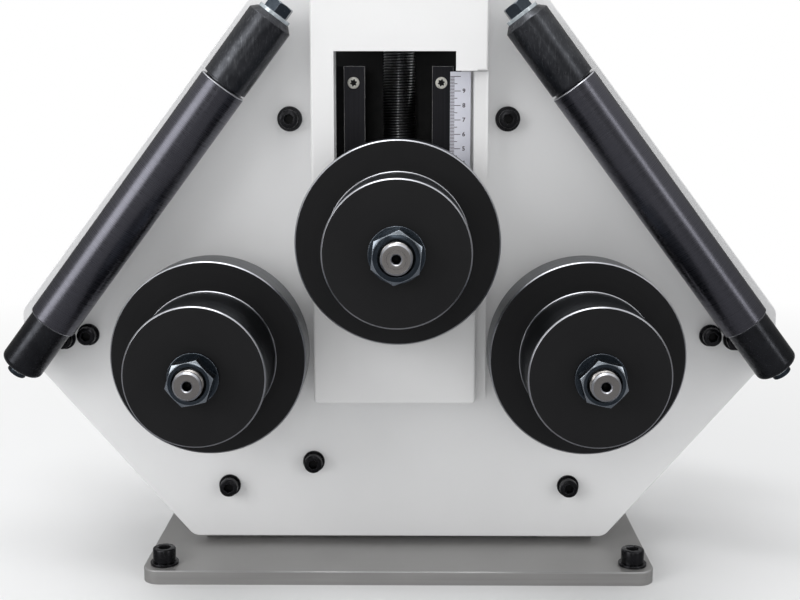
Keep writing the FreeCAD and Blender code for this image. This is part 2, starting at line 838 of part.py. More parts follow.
def make_gear(side):
    # a tooth gap faces the pinion
    x, z = side * lower_shaft_x, lower_shaft_z
    towards_pinion = math.pi if side > 0 else 0
    gear = gear_blank(gear_teeth, towards_pinion + math.pi / gear_teeth, x, z)
    gear = gear.cut(rod_y(shaft_radius, gear_front, gear_back, x, z))
    gear = gear.cut(keyway(gear_front, gear_back, x, z))
    holes = around(gear_hole_circle, gear_hole_count, x, z)
    return drill(gear, holes, gear_hole_radius, gear_front, gear_back)


def make_pinion():
    hub_back = case_inner_back - end_gap
    pinion = gear_blank(pinion_teeth, 0, 0, crank_z)
    pinion = pinion.fuse(rod_y(pinion_hub_radius, gear_front, hub_back, 0, crank_z))
    pinion = pinion.cut(rod_y(crank_radius, gear_front, hub_back, 0, crank_z))
    return pinion.cut(keyway(gear_front, hub_back, 0, crank_z, crank_radius, crank_key_width))


# Gear case behind the rear plate
def case_outline():
    outline = inset(frame_outline(), case_inset)
    right = [(x, z) for x, z in outline if x > 0 and z < case_top_z]
    slope = (plate_side_half - plate_top_half) / (plate_top_z - plate_side_high_z)
    x, z = right[-1]
    right.append((x - slope * (case_top_z - z), case_top_z))
    return right + [(-x, z) for x, z in reversed(right)]


def make_gear_case():
    outer = rounded_prism(case_outline(), plate_corner, rear_plate_back, case_back)
    back_edges = [edge for edge in outer.Edges if edge.BoundBox.YMin > case_inner_back]
    outer = outer.makeFillet(cover_round, back_edges)
    inner_outline = inset(case_outline(), case_wall)
    inner_corner = plate_corner - case_wall
    case = outer.cut(rounded_prism(inner_outline, inner_corner, rear_plate_back, case_inner_back))
    for x, z in case_screw_places:
        case = case.fuse(rod_y(case_boss_radius, rear_plate_back, case_inner_back, x, z))
    case = drill(case.removeSplitter(), case_screw_places, m6[0] + bolt_clearance, rear_plate_back, case_back)
    case = drill(case, [(0, crank_z)], crank_hub_boss_radius, case_inner_back, case_back)
    return drill(case, crank_hub_screws, m6[0], case_inner_back, case_back)


def make_crank_bearing_hub():
    flange_back_y = case_back + crank_hub_flange
    boss_back = case_back + crank_hub_length
    hub = chamfered_rod_y(crank_hub_flange_radius, case_back, flange_back_y, edge_break, 0, crank_z)
    hub = hub.fuse(rod_y(crank_hub_boss_radius, case_inner_back, boss_back, 0, crank_z)).removeSplitter()
    hub = drill(hub, crank_hub_screws, m6[0] + bolt_clearance / 2, case_back, flange_back_y)
    return hub.cut(rod_y(crank_bush_radius, case_inner_back, boss_back, 0, crank_z))


# Crank: shaft, eye and arm, keys and end bolt, grip pin and grip
crank_eye_front = case_back + crank_hub_length + crank_hub_gap
crank_eye_back = crank_eye_front + crank_eye_length
crank_arm_front = crank_eye_front + (crank_eye_length - crank_arm_thickness) / 2
crank_arm_back = crank_arm_front + crank_arm_thickness
crank_shaft_back = crank_eye_back - end_clamp
grip_z = crank_z - crank_length
grip_start = crank_arm_back + end_gap
grip_end = grip_start + grip_length
pinion_key = (gear_front + edge_break, gear_width)
crank_key = (crank_eye_front + edge_break, crank_eye_length - 2 * crank_key_end)


def make_crank_shaft():
    collar_front = rear_plate_front + crank_bush_length + end_gap
    shaft = chamfered_rod_y(crank_radius, rear_plate_front, crank_shaft_back, edge_break, 0, crank_z)
    shaft = shaft.fuse(rod_y(crank_collar_radius, collar_front, gear_front, 0, crank_z)).removeSplitter()
    for y0, length in (pinion_key, crank_key):
        shaft = shaft.cut(key(y0, length, 0, crank_z, crank_radius, crank_key_width))
    return shaft.cut(rod_y(end_bolt_radius, crank_shaft_back - end_bolt_reach, crank_shaft_back, 0, crank_z))


def make_crank_fasteners():
    solids = end_bolt_and_washer(crank_shaft_back, crank_eye_back, 0, crank_z)
    for y0, length in (pinion_key, crank_key):
        solids.append(key(y0, length, 0, crank_z, crank_radius, crank_key_width))
    return Part.makeCompound(solids)


def make_crank_arm():
    arm = box(-crank_arm_half, crank_arm_half, crank_arm_front, crank_arm_back, grip_z, crank_z)
    arm = arm.fuse(rod_y(crank_arm_half, crank_arm_front, crank_arm_back, 0, grip_z)).removeSplitter()
    arm = break_flat_edges(arm, edge_break)
    arm = arm.fuse(chamfered_rod_y(crank_eye_radius, crank_eye_front, crank_eye_back, edge_break, 0, crank_z))
    arm = arm.removeSplitter().cut(rod_y(crank_radius, crank_eye_front, crank_eye_back, 0, crank_z))
    arm = arm.cut(keyway(crank_eye_front, crank_eye_back, 0, crank_z, crank_radius, crank_key_width))
    return arm.cut(rod_y(grip_pin_radius, crank_arm_front, crank_arm_back, 0, grip_z))


def make_grip_pin():
    head_front = grip_end + end_gap
    pin = rod_y(grip_pin_radius, crank_arm_front - grip_nut_height, head_front, 0, grip_z)
    head = chamfered_rod_y(grip_head_radius, head_front, head_front + grip_head_height, edge_break, 0, grip_z)
    nut = hex_body(grip_nut_flats, grip_nut_height, True)
    nut = nut.cut(Part.makeCylinder(grip_pin_radius, grip_nut_height))
    nut = stand(nut, V(0, crank_arm_front, grip_z), outward_front)
    return Part.makeCompound([pin.fuse(head).removeSplitter(), nut])


def make_crank_grip():
    # a barrel that is thickest at its middle
    bore = grip_pin_radius + running_gap
    inner_start, inner_end = V(bore, grip_start, 0), V(bore, grip_end, 0)
    outer_start, outer_end = V(grip_end_radius, grip_start, 0), V(grip_end_radius, grip_end, 0)
    middle = V(grip_radius, (grip_start + grip_end) / 2, 0)
    edges = [Part.Arc(outer_start, middle, outer_end).toShape()]
    edges += [Part.LineSegment(outer_end, inner_end).toShape()]
    edges += [Part.LineSegment(inner_end, inner_start).toShape()]
    edges += [Part.LineSegment(inner_start, outer_start).toShape()]
    grip = Part.Face(Part.Wire(edges)).revolve(origin, outward_rear, 360)
    grip.translate(V(0, 0, grip_z))
    return grip


# Upper slide: rails and strips on the frame, block, bushes, thrust plate and pointer on the slide
block_back = rear_plate_front - slide_gap
block_low_z = upper_shaft_z - block_below_shaft
block_high_z = upper_shaft_z + block_above_shaft
pocket_depth = collar_height + 2 * end_gap


def make_guide_rails():
    solids = []
    for side in (-1, 1):
        rail = side_box(side, rail_inner, slot_half_width, 0, rear_plate_front, rail_low_z, rail_high_z)
        rail = drill(rail, strip_screw_places, strip_screw[0], 0, strip_engagement)
        rail = drill(rail, rail_screw_places, m6[0], rear_plate_front - m6_engagement, rear_plate_front)
        solids.append(rail)
    return Part.makeCompound(solids)


def make_retaining_strips():
    solids = []
    for side in (-1, 1):
        strip = side_box(side, strip_inner, strip_outer, -strip_thickness, 0, rail_low_z, rail_high_z)
        solids.append(drill(strip, strip_screw_places, strip_screw[0], -strip_thickness, 0))
    return Part.makeCompound(solids)


def make_strip_screws():
    solids = []
    for x, z in strip_screw_places:
        length = strip_thickness + strip_engagement
        solids.append(socket_screw(strip_screw, length, V(x, -strip_thickness, z), outward_front))
    return Part.makeCompound(solids)


def make_slide_block():
    block = box(-block_half_width, block_half_width, slide_gap, block_back, block_low_z, block_high_z)
    boss = box(-boss_half_width, boss_half_width, -boss_front, slide_gap, block_low_z, block_high_z)
    block = block.fuse(boss).removeSplitter()
    block = block.cut(rod_y(relief_radius, -boss_front, block_back, 0, upper_shaft_z))
    for y0, y1 in slide_bush_spans:
        block = block.cut(rod_y(bush_radius, y0, y1, 0, upper_shaft_z))
    block = block.cut(rod_y(end_recess_radius, recess_front, block_back, 0, upper_shaft_z))
    block = block.cut(rod_z(collar_radius + end_gap, block_high_z - pocket_depth, block_high_z, 0, spindle_y))
    block = drill(block, pointer_screw_places, m5[0], -boss_front, -boss_front + m5_engagement)
    return drill_down(block, thrust_screw_places, m5[0], block_high_z - m5_engagement, block_high_z)


slide_bush_spans = [(-boss_front, -boss_front + slide_bush_length)]
slide_bush_spans += [(recess_front - slide_bush_length, recess_front)]
pointer_z = block_high_z - pointer_drop
pointer_screw_z = pointer_z - pointer_tab_height + pointer_screw_inset
pointer_screw_places = [(pointer_tab_left + pointer_screw_inset, pointer_screw_z)]
pointer_screw_places += [(pointer_tab_right - pointer_screw_inset, pointer_screw_z)]


def make_slide_bushes():
    bore = shaft_radius + running_gap
    bushes = [ring_y(bore, bush_radius, y0, y1, 0, upper_shaft_z) for y0, y1 in slide_bush_spans]
    return Part.makeCompound(bushes)


def make_thrust_plate():
    # the plate that keeps the spindle collar in the block, with its four screws
    top = block_high_z + thrust_plate_thickness
    plate = box(-block_half_width, block_half_width, spindle_y - thrust_plate_half_depth,
                spindle_y + thrust_plate_half_depth, block_high_z, top)
    plate = plate.cut(rod_z(spindle_radius + end_gap, block_high_z, top, 0, spindle_y))
    plate = drill_down(plate, thrust_screw_places, m5[0] + bolt_clearance / 2, block_high_z, top)
    length = thrust_plate_thickness + m5_engagement
    screws = [socket_screw(m5, length, V(x, y, top), upward) for x, y in thrust_screw_places]
    return Part.makeCompound([plate] + screws)


def make_scale_pointer():
    # a tab on the boss with a needle to the scale, and its two screws
    low, needle_low = pointer_z - pointer_tab_height, pointer_z - pointer_half_height
    high, needle_end = pointer_z + pointer_half_height, pointer_tip_x - pointer_taper
    outline = [(pointer_tab_left, low), (pointer_tab_right, low), (pointer_tab_right, needle_low)]
    outline += [(needle_end, needle_low), (pointer_tip_x, pointer_z), (needle_end, high)]
    outline += [(pointer_tab_left, high)]
    front = -boss_front - pointer_thickness
    points = [V(x, front, z) for x, z in outline]
    plate = Part.Face(Part.makePolygon(points + points[:1])).extrude(V(0, pointer_thickness, 0))
    plate = drill(plate, pointer_screw_places, m5[0], front, -boss_front)
    length = pointer_thickness + m5_engagement
    screws = [socket_screw(m5, length, V(x, front, z), outward_front) for x, z in pointer_screw_places]
    return Part.makeCompound([plate] + screws)


# Spindle, its nut in the top bridge, and the cross handle
hub_top = hub_low_z + hub_height
tommy_bar_z = hub_top - tommy_bar_drop
handle_pin_z = hub_low_z + pin_rise
bridge_low_z = plate_top_z - bridge_height


def make_top_bridge():
    y0, y1 = plate_thickness, rear_plate_front
    bridge = box(-bridge_half_width, bridge_half_width, y0, y1, bridge_low_z, plate_top_z)
    bridge = bridge.cut(rod_z(nut_body_radius, bridge_low_z, plate_top_z, 0, spindle_y))
    bridge = drill(bridge, bridge_screw_places, m6[0], y0, y0 + m6_engagement)
    bridge = drill(bridge, bridge_screw_places, m6[0], y1 - m6_engagement, y1)
    return drill_down(bridge, nut_screw_places, m6[0], plate_top_z - m6_engagement, plate_top_z)


def make_spindle_nut():
    top = plate_top_z + nut_flange_thickness
    flange = stand(chamfered_rod(nut_flange_radius, nut_flange_thickness, edge_break),
                   V(0, spindle_y, plate_top_z), upward)
    nut = flange.fuse(rod_z(nut_body_radius, bridge_low_z, plate_top_z, 0, spindle_y)).removeSplitter()
    nut = nut.cut(rod_z(spindle_radius + running_gap, bridge_low_z, top, 0, spindle_y))
    return drill_down(nut, nut_screw_places, m6[0] + bolt_clearance / 2, plate_top_z, top)


def make_spindle():
    collar_low = block_high_z - pocket_depth + end_gap
    spindle = rod_z(collar_radius, collar_low, block_high_z - end_gap, 0, spindle_y)
    spindle = spindle.fuse(rod_z(spindle_radius, block_high_z - end_gap, hub_low_z, 0, spindle_y))
    spindle = spindle.fuse(rod_z(stem_radius, hub_low_z, hub_low_z + stem_length, 0, spindle_y))
    pin_end = hub_radius + edge_break
    return spindle.cut(rod_y(pin_radius, spindle_y - pin_end, spindle_y + pin_end, 0, handle_pin_z))


def make_handle_hub():
    hub = stand(chamfered_rod(hub_radius, hub_height, edge_break), V(0, spindle_y, hub_low_z), upward)
    hub = hub.cut(rod_z(stem_radius, hub_low_z, hub_low_z + stem_length, 0, spindle_y))
    pin_end = hub_radius + edge_break
    hub = hub.cut(rod_y(pin_radius, spindle_y - pin_end, spindle_y + pin_end, 0, handle_pin_z))
    return hub.cut(rod_x(tommy_bar_radius, -hub_radius, hub_radius, spindle_y, tommy_bar_z))


def make_tommy_bar():
    bar = chamfered_rod(tommy_bar_radius, 2 * tommy_bar_half, edge_break)
    return stand(bar, V(-tommy_bar_half, spindle_y, tommy_bar_z), to_the_right)


def make_bar_knobs():
    # a ball with a flat at the bar side, the bar end goes knob_seat deep
    solids = []
    flat_at = tommy_bar_half - knob_seat
    centre = flat_at + math.sqrt(knob_radius**2 - (tommy_bar_radius + edge_break)**2)
    bore, reach = tommy_bar_radius + knob_gap, tommy_bar_half + running_gap
    seat = rod_x(bore, -reach, reach, spindle_y, tommy_bar_z)
    for side in (-1, 1):
        ball = Part.makeSphere(knob_radius, V(side * centre, spindle_y, tommy_bar_z))
        inside = side_box(side, 0, flat_at, spindle_y - knob_radius, spindle_y + knob_radius,
                          tommy_bar_z - knob_radius, tommy_bar_z + knob_radius)
        solids.append(ball.cut(inside).cut(seat))
    return Part.makeCompound(solids)


def make_handle_pin():
    reach = hub_radius - edge_break / 2
    return rod_y(pin_radius, spindle_y - reach, spindle_y + reach, 0, handle_pin_z)


# Centre cover, scale rail and scale strip on the front plate
def make_centre_cover():
    w = cover_wall
    cover = box(-cover_left, cover_right, -cover_depth, 0, cover_bottom_z, plate_top_z)
    cover = cover.fuse(box(cover_right, cover_top_right, -cover_depth, 0, notch_high_z, plate_top_z))
    cover = cover.removeSplitter()
    foot_edges = [edge for edge in cover.Edges if edge.BoundBox.ZMax < cover_bottom_z + w
                  and edge.BoundBox.YLength > cover_depth / 2]
    cover = cover.makeFillet(cover_corner, foot_edges)
    front_edges = [edge for edge in cover.Edges if edge.BoundBox.YMax < -cover_depth / 2]
    cover = cover.makeFillet(cover_round, front_edges)
    inner_front, inner_right, inner_top = w - cover_depth, cover_right - w, plate_top_z - w
    cover = cover.cut(box(w - cover_left, inner_right, inner_front, 0, cover_bottom_z + w, inner_top))
    cover = cover.cut(box(inner_right, cover_top_right - w, inner_front, 0, notch_high_z + w, inner_top))
    for x, z in cover_screw_places:
        cover = cover.fuse(rod_y(cover_boss_radius, w / 2 - cover_depth, 0, x, z))
    cover = cover.removeSplitter()
    cover = drill(cover, cover_screw_places, m6[0], -m6_engagement, 0)
    window = box(-window_left, window_right, -cover_depth, inner_front, window_low_z, window_high_z)
    cover = cover.cut(window)
    return cover.cut(box(window_right, cover_top_right, -cover_depth, 0, notch_low_z, notch_high_z))


def make_scale_rail():
    # a bar beside the cover, wider in the cover's notch, with a thin seat for the scale and a groove beside it
    high = scale_rail_high_z
    right = scale_rail_left + scale_rail_width
    rail = box(scale_rail_left, right, -scale_rail_depth, 0, cover_bottom_z, high)
    rail = rail.fuse(box(scale_rail_lip_left, right, -scale_rail_depth, 0, notch_low_z + end_gap, high))
    seat_left, seat_right = strip_outer + end_gap, scale_strip_left + scale_strip_width + scale_seat_margin
    rail = rail.fuse(box(seat_left, seat_right, -scale_seat_thickness, 0, scale_seat_low_z, high))
    rail = rail.fuse(box(seat_right, scale_rail_lip_left, -scale_seat_web, 0, scale_seat_low_z, high))
    return drill(rail.removeSplitter(), scale_screw_places, m5[0], -m5_engagement, 0)


def make_scale_strip():
    return box(scale_strip_left, scale_strip_left + scale_strip_width,
               -scale_seat_thickness - scale_strip_thickness, -scale_seat_thickness,
               scale_strip_low_z, scale_rail_high_z)


# Support rollers with their axles, holders and bolts, made along X
axle_low = holder_wall - lower_holder_length
axle_high = upper_holder_end - holder_wall


def make_support_roller(side):
    c = edge_break
    bore, outer, length = support_axle_radius + running_gap, support_roller_radius, support_roller_length
    profile = [(bore, 0), (outer - c, 0), (outer, c), (outer, length - c), (outer - c, length), (bore, length)]
    return to_support(stand(turned(profile), V(end_gap, 0, 0), to_the_right), side)


def make_support_axles():
    axle = rod_x(support_axle_radius, axle_low, axle_high)
    axle = axle.cut(rod_x(low_m8[0], axle_low, axle_low + holder_bolt_reach))
    return on_both_slopes([axle.cut(rod_x(holder_bolt_radius, axle_high - holder_bolt_reach, axle_high))])


def with_post(holder, along):
    post = rod_y(holder_post_radius, 0, support_stand, along, 0)
    tapped = rod_y(m8[0], support_stand - m8_engagement, support_stand, along, 0)
    return holder.fuse(post).removeSplitter().cut(tapped)


def make_upper_holders():
    outer, length, chamfer = upper_holder_radius, upper_holder_length, upper_holder_chamfer
    profile = [(0, 0), (upper_holder_neck_radius, 0), (upper_holder_neck_radius, upper_holder_neck)]
    profile += [(outer, upper_holder_neck), (outer, length - chamfer), (outer - chamfer, length), (0, length)]
    holder = with_post(stand(turned(profile), V(upper_holder_start, 0, 0), to_the_right), upper_post_at)
    holder = holder.cut(rod_x(support_axle_radius, upper_holder_start, axle_high))
    bolt_hole = rod_x(holder_bolt_radius + bolt_clearance, axle_high, upper_holder_end)
    return on_both_slopes([holder.cut(bolt_hole)])


def make_lower_holders():
    holder = rod_x(lower_holder_radius, -lower_holder_length, 0)
    end_edges = [edge for edge in holder.Edges if edge.BoundBox.XMax < -lower_holder_length / 2]
    holder = with_post(holder.makeFillet(lower_holder_round, end_edges), lower_post_at)
    holder = holder.cut(rod_x(support_axle_radius, axle_low, 0))
    bolt_hole = rod_x(low_m8[0] + bolt_clearance, -lower_holder_length, axle_low)
    return on_both_slopes([holder.cut(bolt_hole)])


def make_support_end_bolts():
    # a hexagon bolt on a wide washer above, a low socket screw on a small washer below
    length = holder_wall + holder_bolt_reach - edge_break
    seat, thickness = V(upper_holder_end, 0, 0), upper_bolt_washer[1]
    solids = [washer(upper_bolt_washer, holder_bolt_radius + bolt_clearance / 2, seat, to_the_right)]
    solids.append(hex_bolt(holder_bolt_radius, holder_bolt_flats, holder_bolt_head, length + thickness,
                           seat + to_the_right * thickness, to_the_right))
    solids += screw_on_washer(low_m8, m8_washer, length, V(-lower_holder_length, 0, 0), to_the_left)
    return on_both_slopes(solids)


# All pieces, one file for each node
nodes = {
    "base_plate": make_base_plate(),
    "base_bolts": make_base_bolts(),
    "foot_brackets": make_foot_brackets(),
    "front_plate": make_front_plate(),
    "rear_plate": make_rear_plate(),
    "frame_spacers": make_frame_spacers(),
    "front_plate_screws": make_front_plate_screws(),
    "inner_m8_screws": make_inner_m8_screws(),
    "small_screws": make_small_screws(),
    "bearing_tubes": make_bearing_tubes(),
    "frame_bushes": make_frame_bushes(),
    "bearing_covers": make_bearing_covers(),
    "guide_rails": make_guide_rails(),
    "retaining_strips": make_retaining_strips(),
    "strip_screws": make_strip_screws(),
    "top_bridge": make_top_bridge(),
    "spindle_nut": make_spindle_nut(),
    "centre_cover": make_centre_cover(),
    "scale_rail": make_scale_rail(),
    "scale_strip": make_scale_strip(),
    "gear_case": make_gear_case(),
    "crank_bearing_hub": make_crank_bearing_hub(),
    "support_axles": make_support_axles(),
    "upper_holders": make_upper_holders(),
    "lower_holders": make_lower_holders(),
    "support_end_bolts": make_support_end_bolts(),
    "upper_roller": make_roller(upper_flange_radius, upper_drum_radius, 0, upper_shaft_z),
    "upper_roller_shaft": make_shaft(upper_shaft_back, 0, upper_shaft_z, upper_nut),
    "upper_shaft_sleeve": make_upper_sleeve(),
    "upper_roller_nut": make_roller_nut(0, upper_shaft_z, upper_nut, upper_nut_turn),
    "upper_shaft_fasteners": make_upper_fasteners(),
    "slide_block": make_slide_block(),
    "slide_bushes": make_slide_bushes(),
    "thrust_plate": make_thrust_plate(),
    "scale_pointer": make_scale_pointer(),
    "spindle": make_spindle(),
    "handle_hub": make_handle_hub(),
    "tommy_bar": make_tommy_bar(),
    "bar_knobs": make_bar_knobs(),
    "handle_pin": make_handle_pin(),
    "crank_shaft": make_crank_shaft(),
    "crank_pinion": make_pinion(),
    "crank_arm": make_crank_arm(),
    "crank_fasteners": make_crank_fasteners(),
    "grip_pin": make_grip_pin(),
    "crank_grip": make_crank_grip(),
}
for hand, side, nut_turn in (("left", -1, left_nut_turn), ("right", 1, right_nut_turn)):
    shaft_x = side * lower_shaft_x
    nodes[hand + "_roller"] = make_roller(lower_flange_radius, lower_drum_radius, shaft_x, lower_shaft_z)
    nodes[hand + "_roller_shaft"] = make_lower_shaft(shaft_x)
    nodes[hand + "_shaft_sleeves"] = make_lower_sleeves(shaft_x)
    nodes[hand + "_roller_nut"] = make_roller_nut(shaft_x, lower_shaft_z, lower_nut, nut_turn)
    nodes[hand + "_gear"] = make_gear(side)
    nodes[hand + "_shaft_fasteners"] = make_lower_fasteners(shaft_x)
    nodes[hand + "_support_roller"] = make_support_roller(side)

for name, shape in nodes.items():
    shape.exportStep("parts/" + name + ".step")
    print(name, len(shape.Solids), round(shape.Volume), shape.isValid())
print(len(nodes), "nodes")
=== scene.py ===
import bmesh
import bpy
import json
import math
from mathutils import Matrix, Vector


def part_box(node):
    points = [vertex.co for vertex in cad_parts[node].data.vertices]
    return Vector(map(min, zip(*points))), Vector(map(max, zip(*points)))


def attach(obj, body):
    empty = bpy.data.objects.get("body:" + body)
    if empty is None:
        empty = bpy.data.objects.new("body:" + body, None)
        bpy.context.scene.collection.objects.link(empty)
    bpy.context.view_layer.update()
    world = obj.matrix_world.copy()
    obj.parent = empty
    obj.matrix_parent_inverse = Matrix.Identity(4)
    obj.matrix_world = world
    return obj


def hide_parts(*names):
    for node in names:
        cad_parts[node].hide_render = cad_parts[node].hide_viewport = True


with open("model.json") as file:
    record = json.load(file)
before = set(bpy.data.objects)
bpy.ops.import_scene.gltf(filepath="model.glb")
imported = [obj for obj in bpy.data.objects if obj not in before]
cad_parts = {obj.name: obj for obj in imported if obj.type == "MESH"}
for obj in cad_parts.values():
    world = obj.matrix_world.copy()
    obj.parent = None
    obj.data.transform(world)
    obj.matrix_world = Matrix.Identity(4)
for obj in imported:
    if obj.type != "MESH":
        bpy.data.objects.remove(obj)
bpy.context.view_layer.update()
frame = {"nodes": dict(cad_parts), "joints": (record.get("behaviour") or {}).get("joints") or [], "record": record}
mm = 0.001
nodes = frame["nodes"]
record = frame["record"]
bodyOf = {node: body for body, members in record["behaviour"]["bodies"].items() for node in members}
jointOf = {joint["name"]: joint for joint in frame["joints"]}
toFront = Vector((0, -1, 0))
toRear = Vector((0, 1, 0))
toTop = Vector((0, 0, 1))
print("frame loaded:", len(nodes), "nodes")


# Node trees
def put(tree, kind, inputs=None, **settings):
    node = tree.nodes.new(kind)
    for name, value in settings.items():
        setattr(node, name, value)
    for name, value in (inputs or {}).items():
        if isinstance(value, bpy.types.NodeSocket):
            tree.links.new(value, node.inputs[name])
        else:
            node.inputs[name].default_value = value
    return node


def calc(tree, operation, first, second=0.0, clamp=False):
    node = put(tree, "ShaderNodeMath", {0: first, 1: second}, operation=operation, use_clamp=clamp)
    return node.outputs[0]


def remap(tree, value, fromLow, fromHigh, toLow, toHigh):
    levels = {"From Min": fromLow, "From Max": fromHigh, "To Min": toLow, "To Max": toHigh}
    return put(tree, "ShaderNodeMapRange", {"Value": value, **levels}).outputs["Result"]


def group(name, inputs, outputs):
    tree = bpy.data.node_groups.new(name, "ShaderNodeTree")
    for label, kind, value in inputs:
        socket = tree.interface.new_socket(label, in_out="INPUT", socket_type="NodeSocket" + kind)
        if value is not None:
            socket.default_value = value
    for label, kind in outputs:
        tree.interface.new_socket(label, in_out="OUTPUT", socket_type="NodeSocket" + kind)
    given = tree.nodes.new("NodeGroupInput").outputs
    result = tree.nodes.new("NodeGroupOutput").inputs
    return tree, given, result


def makeTurnedMarks():
    # fine rings left by the lathe, on a place whose Y is the length along the turned outline in mm
    tree, given, result = group("turnedMarks", [("Place", "Vector", None), ("Pitch", "Float", 0.25)],
                                [("Lines", "Float"), ("Height", "Float")])
    along = put(tree, "ShaderNodeSeparateXYZ", {0: given["Place"]}).outputs["Y"]
    fine = put(tree, "ShaderNodeTexNoise", {"W": calc(tree, "DIVIDE", along, given["Pitch"]), "Detail": 1.0,
                                            "Scale": 1.0}, noise_dimensions="1D").outputs["Fac"]
    broad = put(tree, "ShaderNodeTexNoise", {"W": along, "Scale": 0.35}, noise_dimensions="1D").outputs["Fac"]
    lines = calc(tree, "ADD", calc(tree, "MULTIPLY", fine, 0.65), calc(tree, "MULTIPLY", broad, 0.35))
    tree.links.new(lines, result["Lines"])
    tree.links.new(fine, result["Height"])
    return tree


def makeMottle():
    # slow, soft change over a surface between two levels
    inputs = [("Place", "Vector", None), ("Size", "Float", 20.0)]
    inputs += [("Low", "Float", 0.0), ("High", "Float", 1.0)]
    tree, given, result = group("mottle", inputs, [("Level", "Float")])
    noise = put(tree, "ShaderNodeTexNoise", {"Vector": given["Place"], "Scale": given["Size"], "Detail": 3.0})
    level = remap(tree, noise.outputs["Fac"], 0.3, 0.7, given["Low"], given["High"])
    tree.links.new(level, result["Level"])
    return tree


def makeBrushLines():
    # straight lines of a ground or brushed surface; Stretch is small along the lines
    tree, given, result = group("brushLines", [("Place", "Vector", None), ("Stretch", "Vector", (1, 1, 1))],
                                [("Lines", "Float"), ("Height", "Float")])
    scaled = put(tree, "ShaderNodeVectorMath", {0: given["Place"], 1: given["Stretch"]}, operation="MULTIPLY")
    noise = put(tree, "ShaderNodeTexNoise", {"Vector": scaled.outputs[0], "Scale": 1.0, "Detail": 4.0,
                                             "Roughness": 0.65}).outputs["Fac"]
    tree.links.new(noise, result["Lines"])
    tree.links.new(noise, result["Height"])
    return tree


def makeEdgeWear():
    # mask of worn edges, where the rounded normal leaves the true one
    tree, given, result = group("edgeWear", [("Place", "Vector", None), ("Width", "Float", 0.0006),
                                             ("Patches", "Float", 120.0)], [("Mask", "Float")])
    rounded = put(tree, "ShaderNodeBevel", {"Radius": given["Width"]}, samples=6).outputs["Normal"]
    plain = put(tree, "ShaderNodeNewGeometry").outputs["Normal"]
    dot = put(tree, "ShaderNodeVectorMath", {0: rounded, 1: plain}, operation="DOT_PRODUCT").outputs["Value"]
    edge = remap(tree, dot, 0.99, 0.9, 0.0, 1.0)
    noise = put(tree, "ShaderNodeTexNoise", {"Vector": given["Place"], "Scale": given["Patches"],
                                             "Detail": 2.0})
    patch = remap(tree, noise.outputs["Fac"], 0.35, 0.6, 0.35, 1.0)
    tree.links.new(calc(tree, "MULTIPLY", edge, patch, clamp=True), result["Mask"])
    return tree


turnedMarks = makeTurnedMarks()
mottle = makeMottle()
brushLines = makeBrushLines()
edgeWear = makeEdgeWear()


def use(tree, shared, inputs):
    return put(tree, "ShaderNodeGroup", inputs, node_tree=shared).outputs


def blank(name, **sockets):
    material = bpy.data.materials.new(name)
    material.use_nodes = True
    tree = material.node_tree
    shader = tree.nodes["Principled BSDF"]
    for label, value in sockets.items():
        shader.inputs[label.replace("_", " ")].default_value = value
    place = put(tree, "ShaderNodeTexCoord").outputs["Object"]
    return material, tree, shader, place


def tintOver(tree, factor, under, over):
    # 6, 7 and 2 are a Mix node's colour sockets A, B and Result
    colours = {"Factor": factor, 6: under, 7: (*over, 1.0)}
    return put(tree, "ShaderNodeMix", colours, data_type="RGBA").outputs[2]


def tint(tree, factor, low, high):
    return tintOver(tree, factor, (*low, 1.0), high)


def bump(tree, shader, height, strength, distance):
    node = put(tree, "ShaderNodeBump", {"Height": height, "Strength": strength, "Distance": distance})
    tree.links.new(node.outputs["Normal"], shader.inputs["Normal"])


# Materials
def powderCoat(name, low, high, paintedShade=None):
    # satin powder coat with a faint orange peel; the optional box argument marks a space inside the frame where
    # the coat is painted near-black as shade
    material, tree, shader, place = blank(name, Specular_IOR_Level=0.42)
    cloud = use(tree, mottle, {"Place": place, "Size": 9.0, "Low": 0.0, "High": 1.0})["Level"]
    coat = tint(tree, cloud, low, high)
    if paintedShade:
        away = put(tree, "ShaderNodeVectorMath", {0: place, 1: paintedShade["middle"]}, operation="SUBTRACT")
        share = put(tree, "ShaderNodeVectorMath", {0: away.outputs[0], 1: paintedShade["reach"]}, operation="DIVIDE")
        size = put(tree, "ShaderNodeVectorMath", {0: share.outputs[0]}, operation="ABSOLUTE")
        sides = put(tree, "ShaderNodeSeparateXYZ", {0: size.outputs[0]}).outputs
        most = calc(tree, "MAXIMUM", calc(tree, "MAXIMUM", sides["X"], sides["Y"]), sides["Z"])
        # painted shade: inside the box the coat colour is mixed to near-black
        coat = tintOver(tree, calc(tree, "LESS_THAN", most, 1.0), coat, paintedShade["tone"])
    tree.links.new(coat, shader.inputs["Base Color"])
    grain = use(tree, mottle, {"Place": place, "Size": 260.0, "Low": 0.38, "High": 0.52})["Level"]
    tree.links.new(grain, shader.inputs["Roughness"])
    peel = put(tree, "ShaderNodeTexNoise", {"Vector": place, "Scale": 420.0, "Detail": 1.5}).outputs["Fac"]
    bump(tree, shader, peel, 0.12, 0.0002)
    return material


